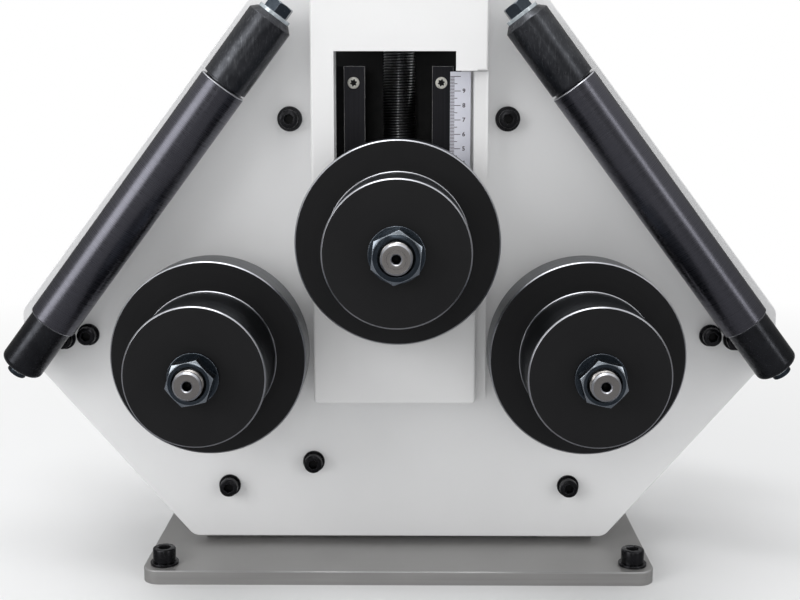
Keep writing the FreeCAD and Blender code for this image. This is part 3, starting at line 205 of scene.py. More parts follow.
def groundSteel(name, low, high, stretch, roughness, metallic=1.0, edge=(0.75, 0.74, 0.73)):
    # ground plate with lines in one direction and lighter worn edges
    material, tree, shader, place = blank(name, Metallic=metallic)
    lines = use(tree, brushLines, {"Place": place, "Stretch": stretch})
    cloud = use(tree, mottle, {"Place": place, "Size": 14.0, "Low": 0.25, "High": 0.75})["Level"]
    mixed = calc(tree, "ADD", calc(tree, "MULTIPLY", lines["Lines"], 0.6), calc(tree, "MULTIPLY", cloud, 0.4))
    worn = use(tree, edgeWear, {"Place": place, "Width": 0.0007, "Patches": 60.0})["Mask"]
    colour = tintOver(tree, calc(tree, "MULTIPLY", worn, 0.6), tint(tree, mixed, low, high), edge)
    tree.links.new(colour, shader.inputs["Base Color"])
    rough = remap(tree, lines["Lines"], 0.3, 0.7, roughness - 0.06, roughness + 0.08)
    tree.links.new(rough, shader.inputs["Roughness"])
    bump(tree, shader, lines["Height"], 0.12, 0.0001)
    return material


def blackened(name, low, high, edge, wear, roughness, specular=0.5, scratch=0.0, metallic=1.0):
    # blackened steel: cloudy black skin, metal showing at edges as wide as wear and in scratches
    material, tree, shader, place = blank(name, Specular_IOR_Level=specular, Metallic=metallic)
    cloud = use(tree, mottle, {"Place": place, "Size": 55.0, "Low": 0.0, "High": 1.0})["Level"]
    skin = tint(tree, cloud, low, high)
    worn = use(tree, edgeWear, {"Place": place, "Width": wear, "Patches": 150.0})["Mask"]
    metal = calc(tree, "MULTIPLY", worn, 0.85)
    if scratch:
        lines = use(tree, brushLines, {"Place": place, "Stretch": (900, 900, 120)})["Lines"]
        marks = remap(tree, lines, 0.52, 0.72, 0.0, scratch)
        metal = calc(tree, "MAXIMUM", metal, marks, clamp=True)
    tree.links.new(tintOver(tree, metal, skin, edge), shader.inputs["Base Color"])
    if not metallic:
        tree.links.new(metal, shader.inputs["Metallic"])
    grain = use(tree, mottle, {"Place": place, "Size": 300.0, "Low": roughness - 0.05,
                               "High": roughness + 0.07})["Level"]
    tree.links.new(grain, shader.inputs["Roughness"])
    fine = put(tree, "ShaderNodeTexNoise", {"Vector": place, "Scale": 900.0, "Detail": 2.0}).outputs["Fac"]
    bump(tree, shader, fine, 0.08, 0.0001)
    return material


def turned(name, low, high, edge, edgeShare, roughness, pitch, depth, specular=0.5, metallic=1.0):
    # turned surface: fine rings follow the outline, and the edges are brighter
    material, tree, shader, place = blank(name, Specular_IOR_Level=specular, Metallic=metallic)
    outline = put(tree, "ShaderNodeUVMap", uv_map="turned").outputs["UV"]
    rings = use(tree, turnedMarks, {"Place": outline, "Pitch": pitch})
    cloud = use(tree, mottle, {"Place": place, "Size": 28.0, "Low": 0.2, "High": 0.8})["Level"]
    mixed = calc(tree, "ADD", calc(tree, "MULTIPLY", rings["Lines"], 0.5), calc(tree, "MULTIPLY", cloud, 0.5))
    worn = use(tree, edgeWear, {"Place": place, "Width": 0.0005, "Patches": 45.0})["Mask"]
    share = calc(tree, "MULTIPLY", worn, edgeShare)
    tree.links.new(tintOver(tree, share, tint(tree, mixed, low, high), edge), shader.inputs["Base Color"])
    if not metallic:
        tree.links.new(share, shader.inputs["Metallic"])
    rough = remap(tree, rings["Lines"], 0.3, 0.7, roughness - 0.05, roughness + 0.06)
    tree.links.new(rough, shader.inputs["Roughness"])
    bump(tree, shader, rings["Height"], depth, 0.0001)
    return material


def moulded(name, colour, roughness):
    material, tree, shader, place = blank(name, Coat_Weight=0.35, Coat_Roughness=0.12)
    cloud = use(tree, mottle, {"Place": place, "Size": 40.0, "Low": 0.0, "High": 1.0})["Level"]
    lighter = tuple(part * 1.5 for part in colour)
    tree.links.new(tint(tree, cloud, colour, lighter), shader.inputs["Base Color"])
    grain = use(tree, mottle, {"Place": place, "Size": 500.0, "Low": roughness, "High": roughness + 0.1})
    tree.links.new(grain["Level"], shader.inputs["Roughness"])
    return material


def threadSteel(name, centre, root, crest, low, high):
    # screw thread: roots painted near-black as shade and crests painted bright as highlight, told apart by how far
    # they are from the axis
    material, tree, shader, place = blank(name, Metallic=1.0)
    sides = put(tree, "ShaderNodeSeparateXYZ", {0: place}).outputs
    x, y = calc(tree, "SUBTRACT", sides["X"], centre.x), calc(tree, "SUBTRACT", sides["Y"], centre.y)
    far = calc(tree, "SQRT", calc(tree, "ADD", calc(tree, "MULTIPLY", x, x), calc(tree, "MULTIPLY", y, y)))
    grain = use(tree, mottle, {"Place": place, "Size": 90.0, "Low": 0.75, "High": 1.0})["Level"]
    shine = calc(tree, "MULTIPLY", remap(tree, far, root, crest, 0.0, 1.0), grain)
    tree.links.new(tint(tree, shine, low, high), shader.inputs["Base Color"])
    tree.links.new(remap(tree, shine, 0.0, 1.0, 0.5, 0.22), shader.inputs["Roughness"])
    return material


paintTones = {"low": (0.74, 0.742, 0.748), "high": (0.775, 0.778, 0.782)}
# painted shade for the plates' insides and slot walls between the plates, seen through the window
insideShade = {"middle": Vector((0, 46 * mm, 294 * mm)), "reach": Vector((62 * mm, 45.8 * mm, 144 * mm)),
              "tone": (0.006, 0.006, 0.007)}
paint = powderCoat("framePaint", **paintTones)
platePaint = powderCoat("platePaint", **paintTones, paintedShade=insideShade)
coverPaint = powderCoat("coverPaint", low=(0.735, 0.735, 0.738), high=(0.765, 0.765, 0.766))
basePlateSteel = groundSteel("groundBase", low=(0.27, 0.265, 0.26), high=(0.44, 0.435, 0.43),
                             stretch=(9, 500, 500), roughness=0.36, metallic=0.5)
millSteel = groundSteel("milledSteel", low=(0.26, 0.26, 0.262), high=(0.42, 0.42, 0.42),
                        stretch=(500, 500, 12), roughness=0.34, metallic=0.7)
stripBlack = groundSteel("stripBlack", low=(0.004, 0.004, 0.005), high=(0.05, 0.05, 0.056),
                         stretch=(1300, 1300, 14), roughness=0.34)
innerBlack = blackened("innerBlack", low=(0.003, 0.003, 0.004), high=(0.006, 0.006, 0.007),
                       edge=(0.06, 0.06, 0.065), wear=0.2 * mm, roughness=0.5, specular=0.1, metallic=0.0)
# painted shade: a near-black material for the insides of sockets and drilled holes, standing in for the shade in
# these hollows
recessBlack = blackened("recessBlack", low=(0.0025, 0.0025, 0.003), high=(0.005, 0.005, 0.006),
                        edge=(0.05, 0.05, 0.055), wear=0.2 * mm, roughness=0.4, specular=0.2, metallic=0.0)
rollerBlack = turned("rollerBlack", low=(0.0075, 0.0075, 0.0082), high=(0.0125, 0.0125, 0.0132),
                     edge=(0.5, 0.5, 0.53), edgeShare=0.8, roughness=0.38, pitch=0.22, depth=0.10,
                     specular=0.16, metallic=0.0)
# painted highlight: a bright steel material put on chamfers and edges so that they read as bright lines of light
turnedEdge = turned("turnedEdge", low=(0.40, 0.41, 0.44), high=(0.62, 0.63, 0.67), edge=(0.8, 0.8, 0.84),
                    edgeShare=0.5, roughness=0.3, pitch=0.3, depth=0.05)
# painted sheen: a lighter, bluish metal copy of the roller black for the flange rim and drum, standing in for how
# these sides catch the light
drumSide = turned("drumSide", low=(0.045, 0.05, 0.058), high=(0.085, 0.092, 0.105), edge=(0.5, 0.5, 0.53),
                  edgeShare=0.6, roughness=0.32, pitch=0.3, depth=0.1)
rodBlack = turned("rodBlack", low=(0.09, 0.09, 0.106), high=(0.13, 0.13, 0.15), edge=(0.5, 0.5, 0.54),
                  edgeShare=0.8, roughness=0.28, pitch=0.35, depth=0.16)
holderBlack = blackened("holderBlack", low=(0.04, 0.042, 0.047), high=(0.085, 0.088, 0.097),
                        edge=(0.34, 0.35, 0.37), wear=0.5 * mm, roughness=0.32, scratch=0.22)
holderSmooth = blackened("holderSmooth", low=(0.03, 0.031, 0.035), high=(0.05, 0.052, 0.058),
                         edge=(0.34, 0.35, 0.37), wear=0.5 * mm, roughness=0.26)
nutBlack = blackened("nutBlack", low=(0.04, 0.052, 0.066), high=(0.075, 0.09, 0.108),
                     edge=(0.5, 0.54, 0.6), wear=0.8 * mm, roughness=0.22)
# painted highlight: a lighter bluish steel for the turned corners of nuts and bolt heads, standing in for the
# light they catch
nutCorner = blackened("nutCorner", low=(0.22, 0.25, 0.29), high=(0.42, 0.46, 0.5),
                      edge=(0.7, 0.74, 0.8), wear=0.6 * mm, roughness=0.26)
screwBlack = blackened("screwBlack", low=(0.022, 0.022, 0.024), high=(0.04, 0.04, 0.043),
                       edge=(0.26, 0.26, 0.28), wear=0.5 * mm, roughness=0.24)
shaftSteel = turned("shaftSteel", low=(0.24, 0.225, 0.215), high=(0.46, 0.44, 0.425),
                    edge=(0.8, 0.79, 0.78), edgeShare=0.9, roughness=0.3, pitch=0.3, depth=0.3)
brightSteel = turned("brightSteel", low=(0.45, 0.45, 0.44), high=(0.62, 0.62, 0.61),
                     edge=(0.85, 0.85, 0.85), edgeShare=0.8, roughness=0.25, pitch=0.25, depth=0.2)
zincSteel = turned("zincSteel", low=(0.42, 0.47, 0.50), high=(0.60, 0.66, 0.70), edge=(0.85, 0.88, 0.9),
                   edgeShare=0.8, roughness=0.22, pitch=0.25, depth=0.1, metallic=0.5)
screwBright = blackened("brightScrew", low=(0.52, 0.51, 0.47), high=(0.66, 0.65, 0.6),
                        edge=(0.85, 0.84, 0.8), wear=0.3 * mm, roughness=0.3, metallic=0.35)
bronze = groundSteel("turnedBronze", low=(0.42, 0.24, 0.09), high=(0.56, 0.34, 0.14),
                     stretch=(600, 600, 600), roughness=0.32)
blackPlastic = moulded("blackPlastic", colour=(0.008, 0.008, 0.009), roughness=0.16)
print("materials made")


# Meshes
def plainMesh(name, bm, finishes):
    bmesh.ops.recalc_face_normals(bm, faces=bm.faces)
    mesh = bpy.data.meshes.new(name)
    bm.to_mesh(mesh)
    bm.free()
    piece = bpy.data.objects.new(name, mesh)
    bpy.context.scene.collection.objects.link(piece)
    for material in finishes:
        mesh.materials.append(material)
    return piece


def applied(piece):
    # the modifiers' result as a plain mesh
    graph = bpy.context.evaluated_depsgraph_get()
    mesh = bpy.data.meshes.new_from_object(piece.evaluated_get(graph), preserve_all_data_layers=True,
                                           depsgraph=graph)
    piece.modifiers.clear()
    piece.data = mesh
    return piece


def smooth(piece, sharpAbove):
    piece.data.shade_smooth()
    piece.data.set_sharp_from_angle(angle=math.radians(sharpAbove))


def softEdges(piece, width, segments=2, angle=38, edgeMaterial=None):
    bevel = piece.modifiers.new("softEdges", "BEVEL")
    if edgeMaterial:
        piece.data.materials.append(edgeMaterial)
        bevel.material = len(piece.data.materials) - 1
    bevel.width = width
    bevel.segments = segments
    bevel.limit_method = "ANGLE"
    bevel.angle_limit = math.radians(angle)
    bevel.harden_normals = True
    smooth(piece, angle)
    return applied(piece)


def lathe(name, outline, foot, outward, material, edge, steps=144, turn=0.0, closed=False, bands=None):
    # outline gives (radius, height) pairs for an angle, from the foot along outward,
    # and bands gives some of its stretches another material
    bm = bmesh.new()
    turnedMap = bm.loops.layers.uv.new("turned")
    second = bm.faces.layers.int.new("second")
    place = Matrix.Translation(foot) @ toTop.rotation_difference(outward).to_matrix().to_4x4()
    place = place @ Matrix.Rotation(math.radians(turn), 4, "Z")
    columns = []
    for step in range(steps):
        angle = 2 * math.pi * step / steps
        columns.append([(r * math.cos(angle), r * math.sin(angle), h, r) for r, h in outline(angle)])
    count = len(columns[0])
    lengths = [0.0]
    for (x0, y0, h0, r0), (x1, y1, h1, r1) in zip(columns[0], columns[0][1:] + columns[0][:1]):
        lengths.append(lengths[-1] + math.hypot(r1 - r0, h1 - h0) / mm)
    onAxis = [i for i in range(count) if columns[0][i][3] == 0]
    poles = {i: bm.verts.new(place @ Vector(columns[0][i][:3])) for i in onAxis}
    grid = []
    for column in columns:
        grid.append([poles.get(i) or bm.verts.new(place @ Vector(column[i][:3])) for i in range(count)])
    last = count if closed else count - 1
    finishes = [material]
    bandOf = {}
    for stretch, other in (bands or {}).items():
        if other not in finishes:
            finishes.append(other)
        bandOf[stretch % count] = finishes.index(other)
    for step in range(steps):
        after = step + 1
        near, far = grid[step], grid[after % steps]
        for i in range(last):
            j = (i + 1) % count
            corners = [(near[i], step, i), (far[i], after, i), (far[j], after, i + 1), (near[j], step, i + 1)]
            kept = [c for n, c in enumerate(corners) if c[0] is not corners[n - 1][0]]
            if len(kept) < 3:
                continue
            face = bm.faces.new([c[0] for c in kept])
            face.material_index = bandOf.get(i, 0)
            face[second] = 1 if i in bandOf else 0
            for loop, (vert, u, v) in zip(face.loops, kept):
                loop[turnedMap].uv = (u / steps, lengths[v])
    piece = plainMesh(name, bm, finishes)
    return softEdges(piece, edge) if edge else piece


def fixedOutline(points):
    return lambda angle: points


merging = {"distance": 0.002 * mm, "flatAngle": 0.4}


def mergedNode(node):
    bm = bmesh.new()
    bm.from_mesh(nodes[node].data)
    bmesh.ops.remove_doubles(bm, verts=bm.verts, dist=merging["distance"])
    return bm


def cadCopy(node, material, edge, edgeMaterial=None):
    # a merged copy of a CAD node with softened edges
    bm = mergedNode(node)
    flat = math.radians(merging["flatAngle"])
    bmesh.ops.dissolve_limit(bm, angle_limit=flat, verts=bm.verts, edges=bm.edges)
    bm.verts.ensure_lookup_table()
    verts = [vert.co.copy() for vert in bm.verts]
    faces = [[vert.index for vert in face.verts] for face in bm.faces]
    bm.free()
    mesh = bpy.data.meshes.new(node + "Dressed")
    mesh.from_pydata(verts, [], faces)
    piece = bpy.data.objects.new(mesh.name, mesh)
    bpy.context.scene.collection.objects.link(piece)
    mesh.materials.append(material)
    return softEdges(piece, edge, edgeMaterial=edgeMaterial)


def standsFor(piece, *replaced):
    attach(piece, bodyOf[replaced[0]])
    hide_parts(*replaced)
    return piece


def goesWith(piece, node):
    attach(piece, bodyOf[node])
    return piece


def solidBoxes(node):
    # lowest and highest corner of each separate solid in a CAD node, in the same order on every run
    bm = mergedNode(node)
    left = set(bm.verts)
    boxes = []
    while left:
        stack = [left.pop()]
        found = []
        while stack:
            vert = stack.pop()
            found.append(vert.co.copy())
            for edge in vert.link_edges:
                other = edge.other_vert(vert)
                if other in left:
                    left.remove(other)
                    stack.append(other)
        low = Vector([min(co[i] for co in found) for i in range(3)])
        high = Vector([max(co[i] for co in found) for i in range(3)])
        boxes.append((low, high))
    bm.free()
    return sorted(boxes, key=lambda box: tuple(box[0]))


# Geometry Nodes
def geometryTree(name, inputs):
    tree = bpy.data.node_groups.new(name, "GeometryNodeTree")
    tree.interface.new_socket("Geometry", in_out="INPUT", socket_type="NodeSocketGeometry")
    for label, kind in inputs:
        tree.interface.new_socket(label, in_out="INPUT", socket_type="NodeSocket" + kind)
    tree.interface.new_socket("Geometry", in_out="OUTPUT", socket_type="NodeSocketGeometry")
    return tree, tree.nodes.new("NodeGroupInput").outputs, tree.nodes.new("NodeGroupOutput").inputs


def makeRepeatTree():
    # one modelled piece on every vertex of the places
    tree, given, result = geometryTree("pieceOnPlaces", [("Piece", "Object"), ("Finish", "Material"),
                                                         ("Recess", "Material")])
    source = put(tree, "GeometryNodeObjectInfo", {"Object": given["Piece"]}, transform_space="ORIGINAL")
    copies = put(tree, "GeometryNodeInstanceOnPoints", {"Points": given["Geometry"],
                                                        "Instance": source.outputs["Geometry"]})
    real = put(tree, "GeometryNodeRealizeInstances", {0: copies.outputs[0]})
    dressed = put(tree, "GeometryNodeSetMaterial", {"Geometry": real.outputs[0], "Material": given["Finish"]})
    # faces marked second get the painted recess shade
    marked = put(tree, "GeometryNodeInputNamedAttribute", {"Name": "second"}, data_type="INT")
    recess = {"Geometry": dressed.outputs[0], "Selection": marked.outputs[0], "Material": given["Recess"]}
    dressed = put(tree, "GeometryNodeSetMaterial", recess)
    tree.links.new(dressed.outputs[0], result["Geometry"])
    return tree


def makeTickTree():
    # a row of ruler lines: every tenth is long, every fifth is middling, the others are short
    places = [("Count", "Int"), ("Spacing", "Float"), ("Start", "Vector")]
    form = [("Width", "Float"), ("Depth", "Float"), ("Finish", "Material")]
    lengths = [("Long", "Float"), ("Middle", "Float"), ("Short", "Float")]
    tree, given, result = geometryTree("rulerTicks", places + form + lengths)
    step = put(tree, "ShaderNodeCombineXYZ", {"Z": given["Spacing"]}).outputs[0]
    row = put(tree, "GeometryNodeMeshLine", {"Count": given["Count"], "Start Location": given["Start"],
                                             "Offset": step}).outputs["Mesh"]
    index = put(tree, "GeometryNodeInputIndex").outputs[0]
    isTenth = calc(tree, "LESS_THAN", calc(tree, "MODULO", index, 10.0), 0.5)
    isFifth = calc(tree, "LESS_THAN", calc(tree, "MODULO", index, 5.0), 0.5)
    common = put(tree, "ShaderNodeMix", {"Factor": isFifth, "A": given["Short"], "B": given["Middle"]})
    chosen = put(tree, "ShaderNodeMix", {"Factor": isTenth, "A": common.outputs[0], "B": given["Long"]})
    length = chosen.outputs[0]
    shift = put(tree, "ShaderNodeCombineXYZ", {"X": calc(tree, "MULTIPLY", length, 0.5)}).outputs[0]
    placed = put(tree, "GeometryNodeSetPosition", {"Geometry": row, "Offset": shift}).outputs[0]
    size = put(tree, "ShaderNodeCombineXYZ", {"X": length, "Y": given["Depth"], "Z": given["Width"]})
    bar = put(tree, "GeometryNodeMeshCube", {"Size": (1, 1, 1)}).outputs["Mesh"]
    bars = put(tree, "GeometryNodeInstanceOnPoints", {"Points": placed, "Instance": bar,
                                                      "Scale": size.outputs[0]})
    real = put(tree, "GeometryNodeRealizeInstances", {0: bars.outputs[0]})
    dressed = put(tree, "GeometryNodeSetMaterial", {"Geometry": real.outputs[0], "Material": given["Finish"]})
    tree.links.new(dressed.outputs[0], result["Geometry"])
    return tree


def grow(name, tree, values, points=()):
    # runs a tree on some points and keeps its result as a plain mesh
    mesh = bpy.data.meshes.new(name)
    mesh.from_pydata(list(points) or [(0, 0, 0)], [], [])
    piece = bpy.data.objects.new(name, mesh)
    bpy.context.scene.collection.objects.link(piece)
    modifier = piece.modifiers.new(name, "NODES")
    modifier.node_group = tree
    for item in tree.interface.items_tree:
        if item.in_out == "INPUT" and item.name in values:
            modifier[item.identifier] = values[item.name]
    return applied(piece)


def repeat(name, pattern, material, points):
    values = {"Piece": pattern, "Finish": material, "Recess": recessBlack}
    piece = grow(name, repeatTree, values, points)
    bpy.data.objects.remove(pattern)
    return piece


repeatTree = makeRepeatTree()
tickTree = makeTickTree()


# Fasteners, with shares of a head's own width and height
headForm = {"cornerDrop": 0.62, "nutLand": 0.965, "boltLand": 0.95, "recessFloor": 0.42, "recessTaper": 0.98,
            "recessRim": 0.94, "rimWidth": 0.04, "lip": 0.10, "lipTurn": 0.35, "lobeDepth": 0.2}


def hexRadius(angle, flats):
    sixth = math.pi / 3
    return flats / 2 / math.cos(angle % sixth - sixth / 2)


def nutOutline(flats, height, bore, sink):
    # hexagon with turned corners and a countersunk bore
    def outline(angle):
        corner = hexRadius(angle, flats)
        drop = (corner - flats / 2) * headForm["cornerDrop"]
        land = flats / 2 * headForm["nutLand"]
        return [(bore, sink), (bore + sink, 0), (land, 0), (corner, drop), (corner, height - drop),
                (land, height), (bore + sink, height), (bore, height - sink)]
    return outline


def boltOutline(flats, height, shank, reach):
    def outline(angle):
        corner = hexRadius(angle, flats)
        drop = (corner - flats / 2) * headForm["cornerDrop"]
        land = flats / 2 * headForm["boltLand"]
        return [(0, height), (land, height), (corner, height - drop), (corner, 0), (shank, 0), (shank, -reach),
                (0, -reach)]
    return outline


def socketOutline(head, height, socket, shank, reach, lobes=False):
    # round head with a hexagon or a lobed recess
    f = headForm
    floor, rim, lip = height * f["recessFloor"], head * f["rimWidth"], head * f["lip"]
    turn = lip * f["lipTurn"]

    def outline(angle):
        lobed = socket / 2 * (1 + f["lobeDepth"] * math.cos(6 * angle))
        recess = lobed if lobes else hexRadius(angle, socket)
        return [(0, floor), (recess * f["recessTaper"], floor), (recess, height * f["recessRim"]),
                (recess + rim, height), (head - lip, height), (head - turn, height - turn),
                (head, height - lip), (head, 0), (shank, 0), (shank, -reach), (0, -reach)]
    return outline


def ringOutline(inner, outer, height):
    return fixedOutline([(inner, 0), (outer, 0), (outer, height), (inner, height)])


# Frame: plates, cover, case and what lies between them
frameFinish = {
    "front_plate": (platePaint, 0.25), "rear_plate": (platePaint, 0.25), "gear_case": (paint, 0.3),
    "centre_cover": (coverPaint, 0.25), "scale_rail": (coverPaint, 0.3), "base_plate": (basePlateSteel, 0.6),
    "foot_brackets": (millSteel, 0.3), "frame_spacers": (millSteel, 0.3), "bearing_tubes": (millSteel, 0.3),
    "top_bridge": (millSteel, 0.4), "bearing_covers": (innerBlack, 0.2), "guide_rails": (innerBlack, 0.3),
    "retaining_strips": (stripBlack, 0.35), "crank_bearing_hub": (holderBlack, 0.3),
    "frame_bushes": (bronze, 0.2), "spindle_nut": (bronze, 0.3), "support_axles": (millSteel, 0.2),
    "inner_m8_screws": (screwBlack, 0.15), "small_screws": (screwBlack, 0.12),
    "upper_holders": (holderBlack, 0.35), "lower_holders": (holderSmooth, 0.3),
}
# the base plate's and the retaining strips' bevelled edges get a lighter material, a painted highlight along each
# edge
edgeHighlights = {"base_plate": turnedEdge, "retaining_strips": nutBlack}
for node, (material, edge) in frameFinish.items():
    standsFor(cadCopy(node, material, edge * mm, edgeHighlights.get(node)), node)
print("frame dressed")


# Rollers with their shafts and nuts
roller = {"lowerDrum": 45.5 * mm, "upperDrum": 47.1 * mm, "drumWidth": 57.3 * mm, "chamfer": 0.85 * mm,
          "rootRound": 0.6 * mm, "edge": 0.2 * mm}
nut = {"height": 15.0 * mm, "washer": 3.0 * mm, "lowerFlats": 27.0 * mm, "upperFlats": 30.0 * mm,
       "lowerThread": 9.3 * mm, "upperThread": 10.0 * mm, "lowerWasher": 16.5 * mm, "upperWasher": 18.0 * mm,
       "sink": 1.6 * mm, "play": 0.5 * mm, "leftTurn": 12.0, "rightTurn": 46.0, "upperTurn": 24.0}
shaftEnd = {"chamfer": 1.3 * mm, "drill": 3.0 * mm, "drillDepth": 7.0 * mm, "cone": 0.7 * mm, "plain": 3.4 * mm,
            "pitch": 1.5 * mm, "depth": 0.75 * mm, "fit": 0.02 * mm, "shoulderIn": 1.5 * mm,
            "rearChamfer": 1.0 * mm, "step": 0.01 * mm, "runIn": 0.4 * mm, "runOut": 0.3 * mm, "land": 0.2 * mm}
sleeveWall = 3.0 * mm


def threadRows(start, end, radius, pitch, depth, angle):
    # a screw thread between two heights, as radius and height at one angle
    rows = []
    steps = round((end - start) / pitch * 6)
    for i in range(steps + 1):
        height = start + (end - start) * i / steps
        turnShare = (height - start) / pitch - angle / (2 * math.pi)
        fromCrest = abs((turnShare % 1) * 2 - 1)
        rows.append((radius - depth * min(1.0, 1.15 * fromCrest), height))
    return rows


def makeRoller(hand, drum, nutKind, nutTurn):
    node = hand + "_roller"
    low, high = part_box(node)
    centre = (low + high) / 2
    flange = (high.x - low.x) / 2
    axis = Vector((centre.x, high.y, centre.z))
    width = high.y - low.y
    front = width - roller["drumWidth"]
    bore = shaftRadius(hand)
    c, root = roller["chamfer"], roller["rootRound"]
    outline = [(bore, 0), (flange - c, 0), (flange, c), (flange, front - c), (flange - c, front),
               (drum + root, front), (drum, front + root), (drum, width - c), (drum - c, width), (bore, width)]
    # the chamfers and the root round get the painted edge highlight, and the flange rim and the drum get the
    # painted sheen
    paintedLightBands = {1: turnedEdge, 2: drumSide, 3: turnedEdge, 5: turnedEdge, 6: drumSide, 7: turnedEdge}
    body = lathe(hand + "RollerBody", fixedOutline(outline), axis, toFront, rollerBlack, roller["edge"],
                 steps=256, closed=True, bands=paintedLightBands)
    standsFor(body, node)
    makeNut(hand, Vector((centre.x, low.y, centre.z)), nutKind, nutTurn)
    makeShaft(hand, centre, low.y, nutKind)


def shaftRadius(hand):
    low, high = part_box(hand + "_shaft_sleeves" if hand != "upper" else "upper_shaft_sleeve")
    return (high.x - low.x) / 2 - sleeveWall


def makeNut(hand, seat, kind, turn):
    thread, flats, ring = nut[kind + "Thread"], nut[kind + "Flats"], nut[kind + "Washer"]
    washer = lathe(hand + "NutWasher", ringOutline(thread + nut["play"], ring, nut["washer"]), seat, toFront,
                   nutBlack, 0.35 * mm, closed=True)
    goesWith(washer, hand + "_roller_nut")
    outline = nutOutline(flats, nut["height"], thread, nut["sink"])
    seat = seat + toFront * nut["washer"]
    # the turned corners get the painted corner highlight
    body = lathe(hand + "Nut", outline, seat, toFront, nutBlack, 0.3 * mm, steps=96, turn=turn, closed=True,
                 bands={2: nutCorner, 4: nutCorner})
    standsFor(body, hand + "_roller_nut")


def makeShaft(hand, centre, shoulderY, kind):
    # plain journal with a threaded front end, a chamfer and a centre drilling
    low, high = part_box(hand + "_roller_shaft")
    s = shaftEnd
    thread = nut[kind + "Thread"] - s["fit"]
    tip = thread - s["land"]
    length = high.y - low.y
    shoulder = high.y - shoulderY - s["shoulderIn"]
    radius, c = (high.x - low.x) / 2, s["rearChamfer"]
    threadEnd = length - s["plain"]

    def outline(angle):
        rows = [(0, 0), (radius - c, 0), (radius, c), (radius, shoulder), (thread, shoulder + s["step"])]
        rows += threadRows(shoulder + s["runIn"], threadEnd, thread, s["pitch"], s["depth"], angle)
        rows += [(thread - s["depth"], threadEnd + s["runOut"]), (tip, threadEnd + 2 * s["runOut"])]
        rows += [(tip, length - s["chamfer"]), (thread - s["chamfer"], length)]
        rows += [(s["drill"] + s["cone"], length), (s["drill"], length - s["cone"])]
        rows += [(s["drill"], length - s["drillDepth"]), (0, length - s["drillDepth"] - s["drill"])]
        return rows

    foot = Vector((centre.x, high.y, centre.z))
    # the end chamfer and the countersink get the painted edge highlight, and the centre drilling gets painted
    # shade
    body = lathe(hand + "Shaft", outline, foot, toFront, shaftSteel, edge=0, steps=96,
                 bands={-6: turnedEdge, -4: turnedEdge, -3: recessBlack, -2: recessBlack})
    smooth(body, 32)
    standsFor(body, hand + "_roller_shaft")


makeRoller("left", roller["lowerDrum"], "lower", nut["leftTurn"])
makeRoller("right", roller["lowerDrum"], "lower", nut["rightTurn"])
makeRoller("upper", roller["upperDrum"], "upper", nut["upperTurn"])
for node in ("left_shaft_sleeves", "right_shaft_sleeves", "upper_shaft_sleeve"):
    standsFor(cadCopy(node, millSteel, 0.25 * mm), node)
for node in ("left_gear", "right_gear", "crank_pinion"):
    standsFor(cadCopy(node, millSteel, 0.2 * mm), node)
for node in ("left_shaft_fasteners", "right_shaft_fasteners", "upper_shaft_fasteners", "crank_fasteners"):
    standsFor(cadCopy(node, screwBlack, 0.2 * mm), node)
print("rollers dressed")


# Sloping support rollers and the bolts at their ends
support = {"radius": 16.85 * mm, "length": 205.4 * mm, "gap": 0.3 * mm, "bore": 8.05 * mm, "chamfer": 0.8 * mm,
           "upperEnd": 263.5 * mm, "lowerEnd": -40.0 * mm, "upperWasher": 12.0 * mm, "lowerWasher": 8.0 * mm,
           "upperThick": 2.5 * mm, "lowerThick": 1.6 * mm, "boltFlats": 17.0 * mm, "boltHead": 8.0 * mm,
           "upperShank": 5.0 * mm, "upperReach": 20.0 * mm, "lowHead": 6.8 * mm, "lowHeight": 3.6 * mm,
           "lowSocket": 5.0 * mm, "lowerShank": 4.0 * mm, "lowerReach": 20.0 * mm}


def makeSupport(hand):
    joint = jointOf[hand + "_support_spin"]
    start, along = Vector(joint["pos_m"]), Vector(joint["axis"]).normalized()
    s = support
    c = s["chamfer"]
    outline = [(s["bore"], 0), (s["radius"] - c, 0), (s["radius"], c), (s["radius"], s["length"] - c),
               (s["radius"] - c, s["length"]), (s["bore"], s["length"])]
    # the end chamfers get the painted edge highlight
    body = lathe(hand + "SupportRollerBody", fixedOutline(outline), start + along * s["gap"], along, rodBlack,
                 0.3 * mm, steps=160, closed=True, bands={1: turnedEdge, 3: turnedEdge})
    standsFor(body, hand + "_support_roller")
    upperHead = boltOutline(s["boltFlats"], s["boltHead"], s["upperShank"], s["upperReach"])
    lowerHead = socketOutline(s["lowHead"], s["lowHeight"], s["lowSocket"], s["lowerShank"], s["lowerReach"])
    # the upper bolt's turned corners get the painted corner highlight
    upperEnd = ("upper", along, upperHead, {1: nutCorner})
    # the lower bolt's socket gets the painted recess shade
    lowerEnd = ("lower", -along, lowerHead, {0: recessBlack, 1: recessBlack})
    for end, outward, head, bands in (upperEnd, lowerEnd):
        seat = start + along * s[end + "End"]
        ring = ringOutline(s[end + "Shank"], s[end + "Washer"], s[end + "Thick"])
        washer = lathe(hand + end + "Washer", ring, seat, outward, zincSteel, 0.3 * mm, steps=96, closed=True)
        goesWith(washer, "support_end_bolts")
        foot = seat + outward * s[end + "Thick"]
        bolt = lathe(hand + end + "Bolt", head, foot, outward, nutBlack, 0.2 * mm, steps=96, turn=30,
                     bands=bands)
        standsFor(bolt, "support_end_bolts")


makeSupport("left")
makeSupport("right")
print("support rollers dressed")


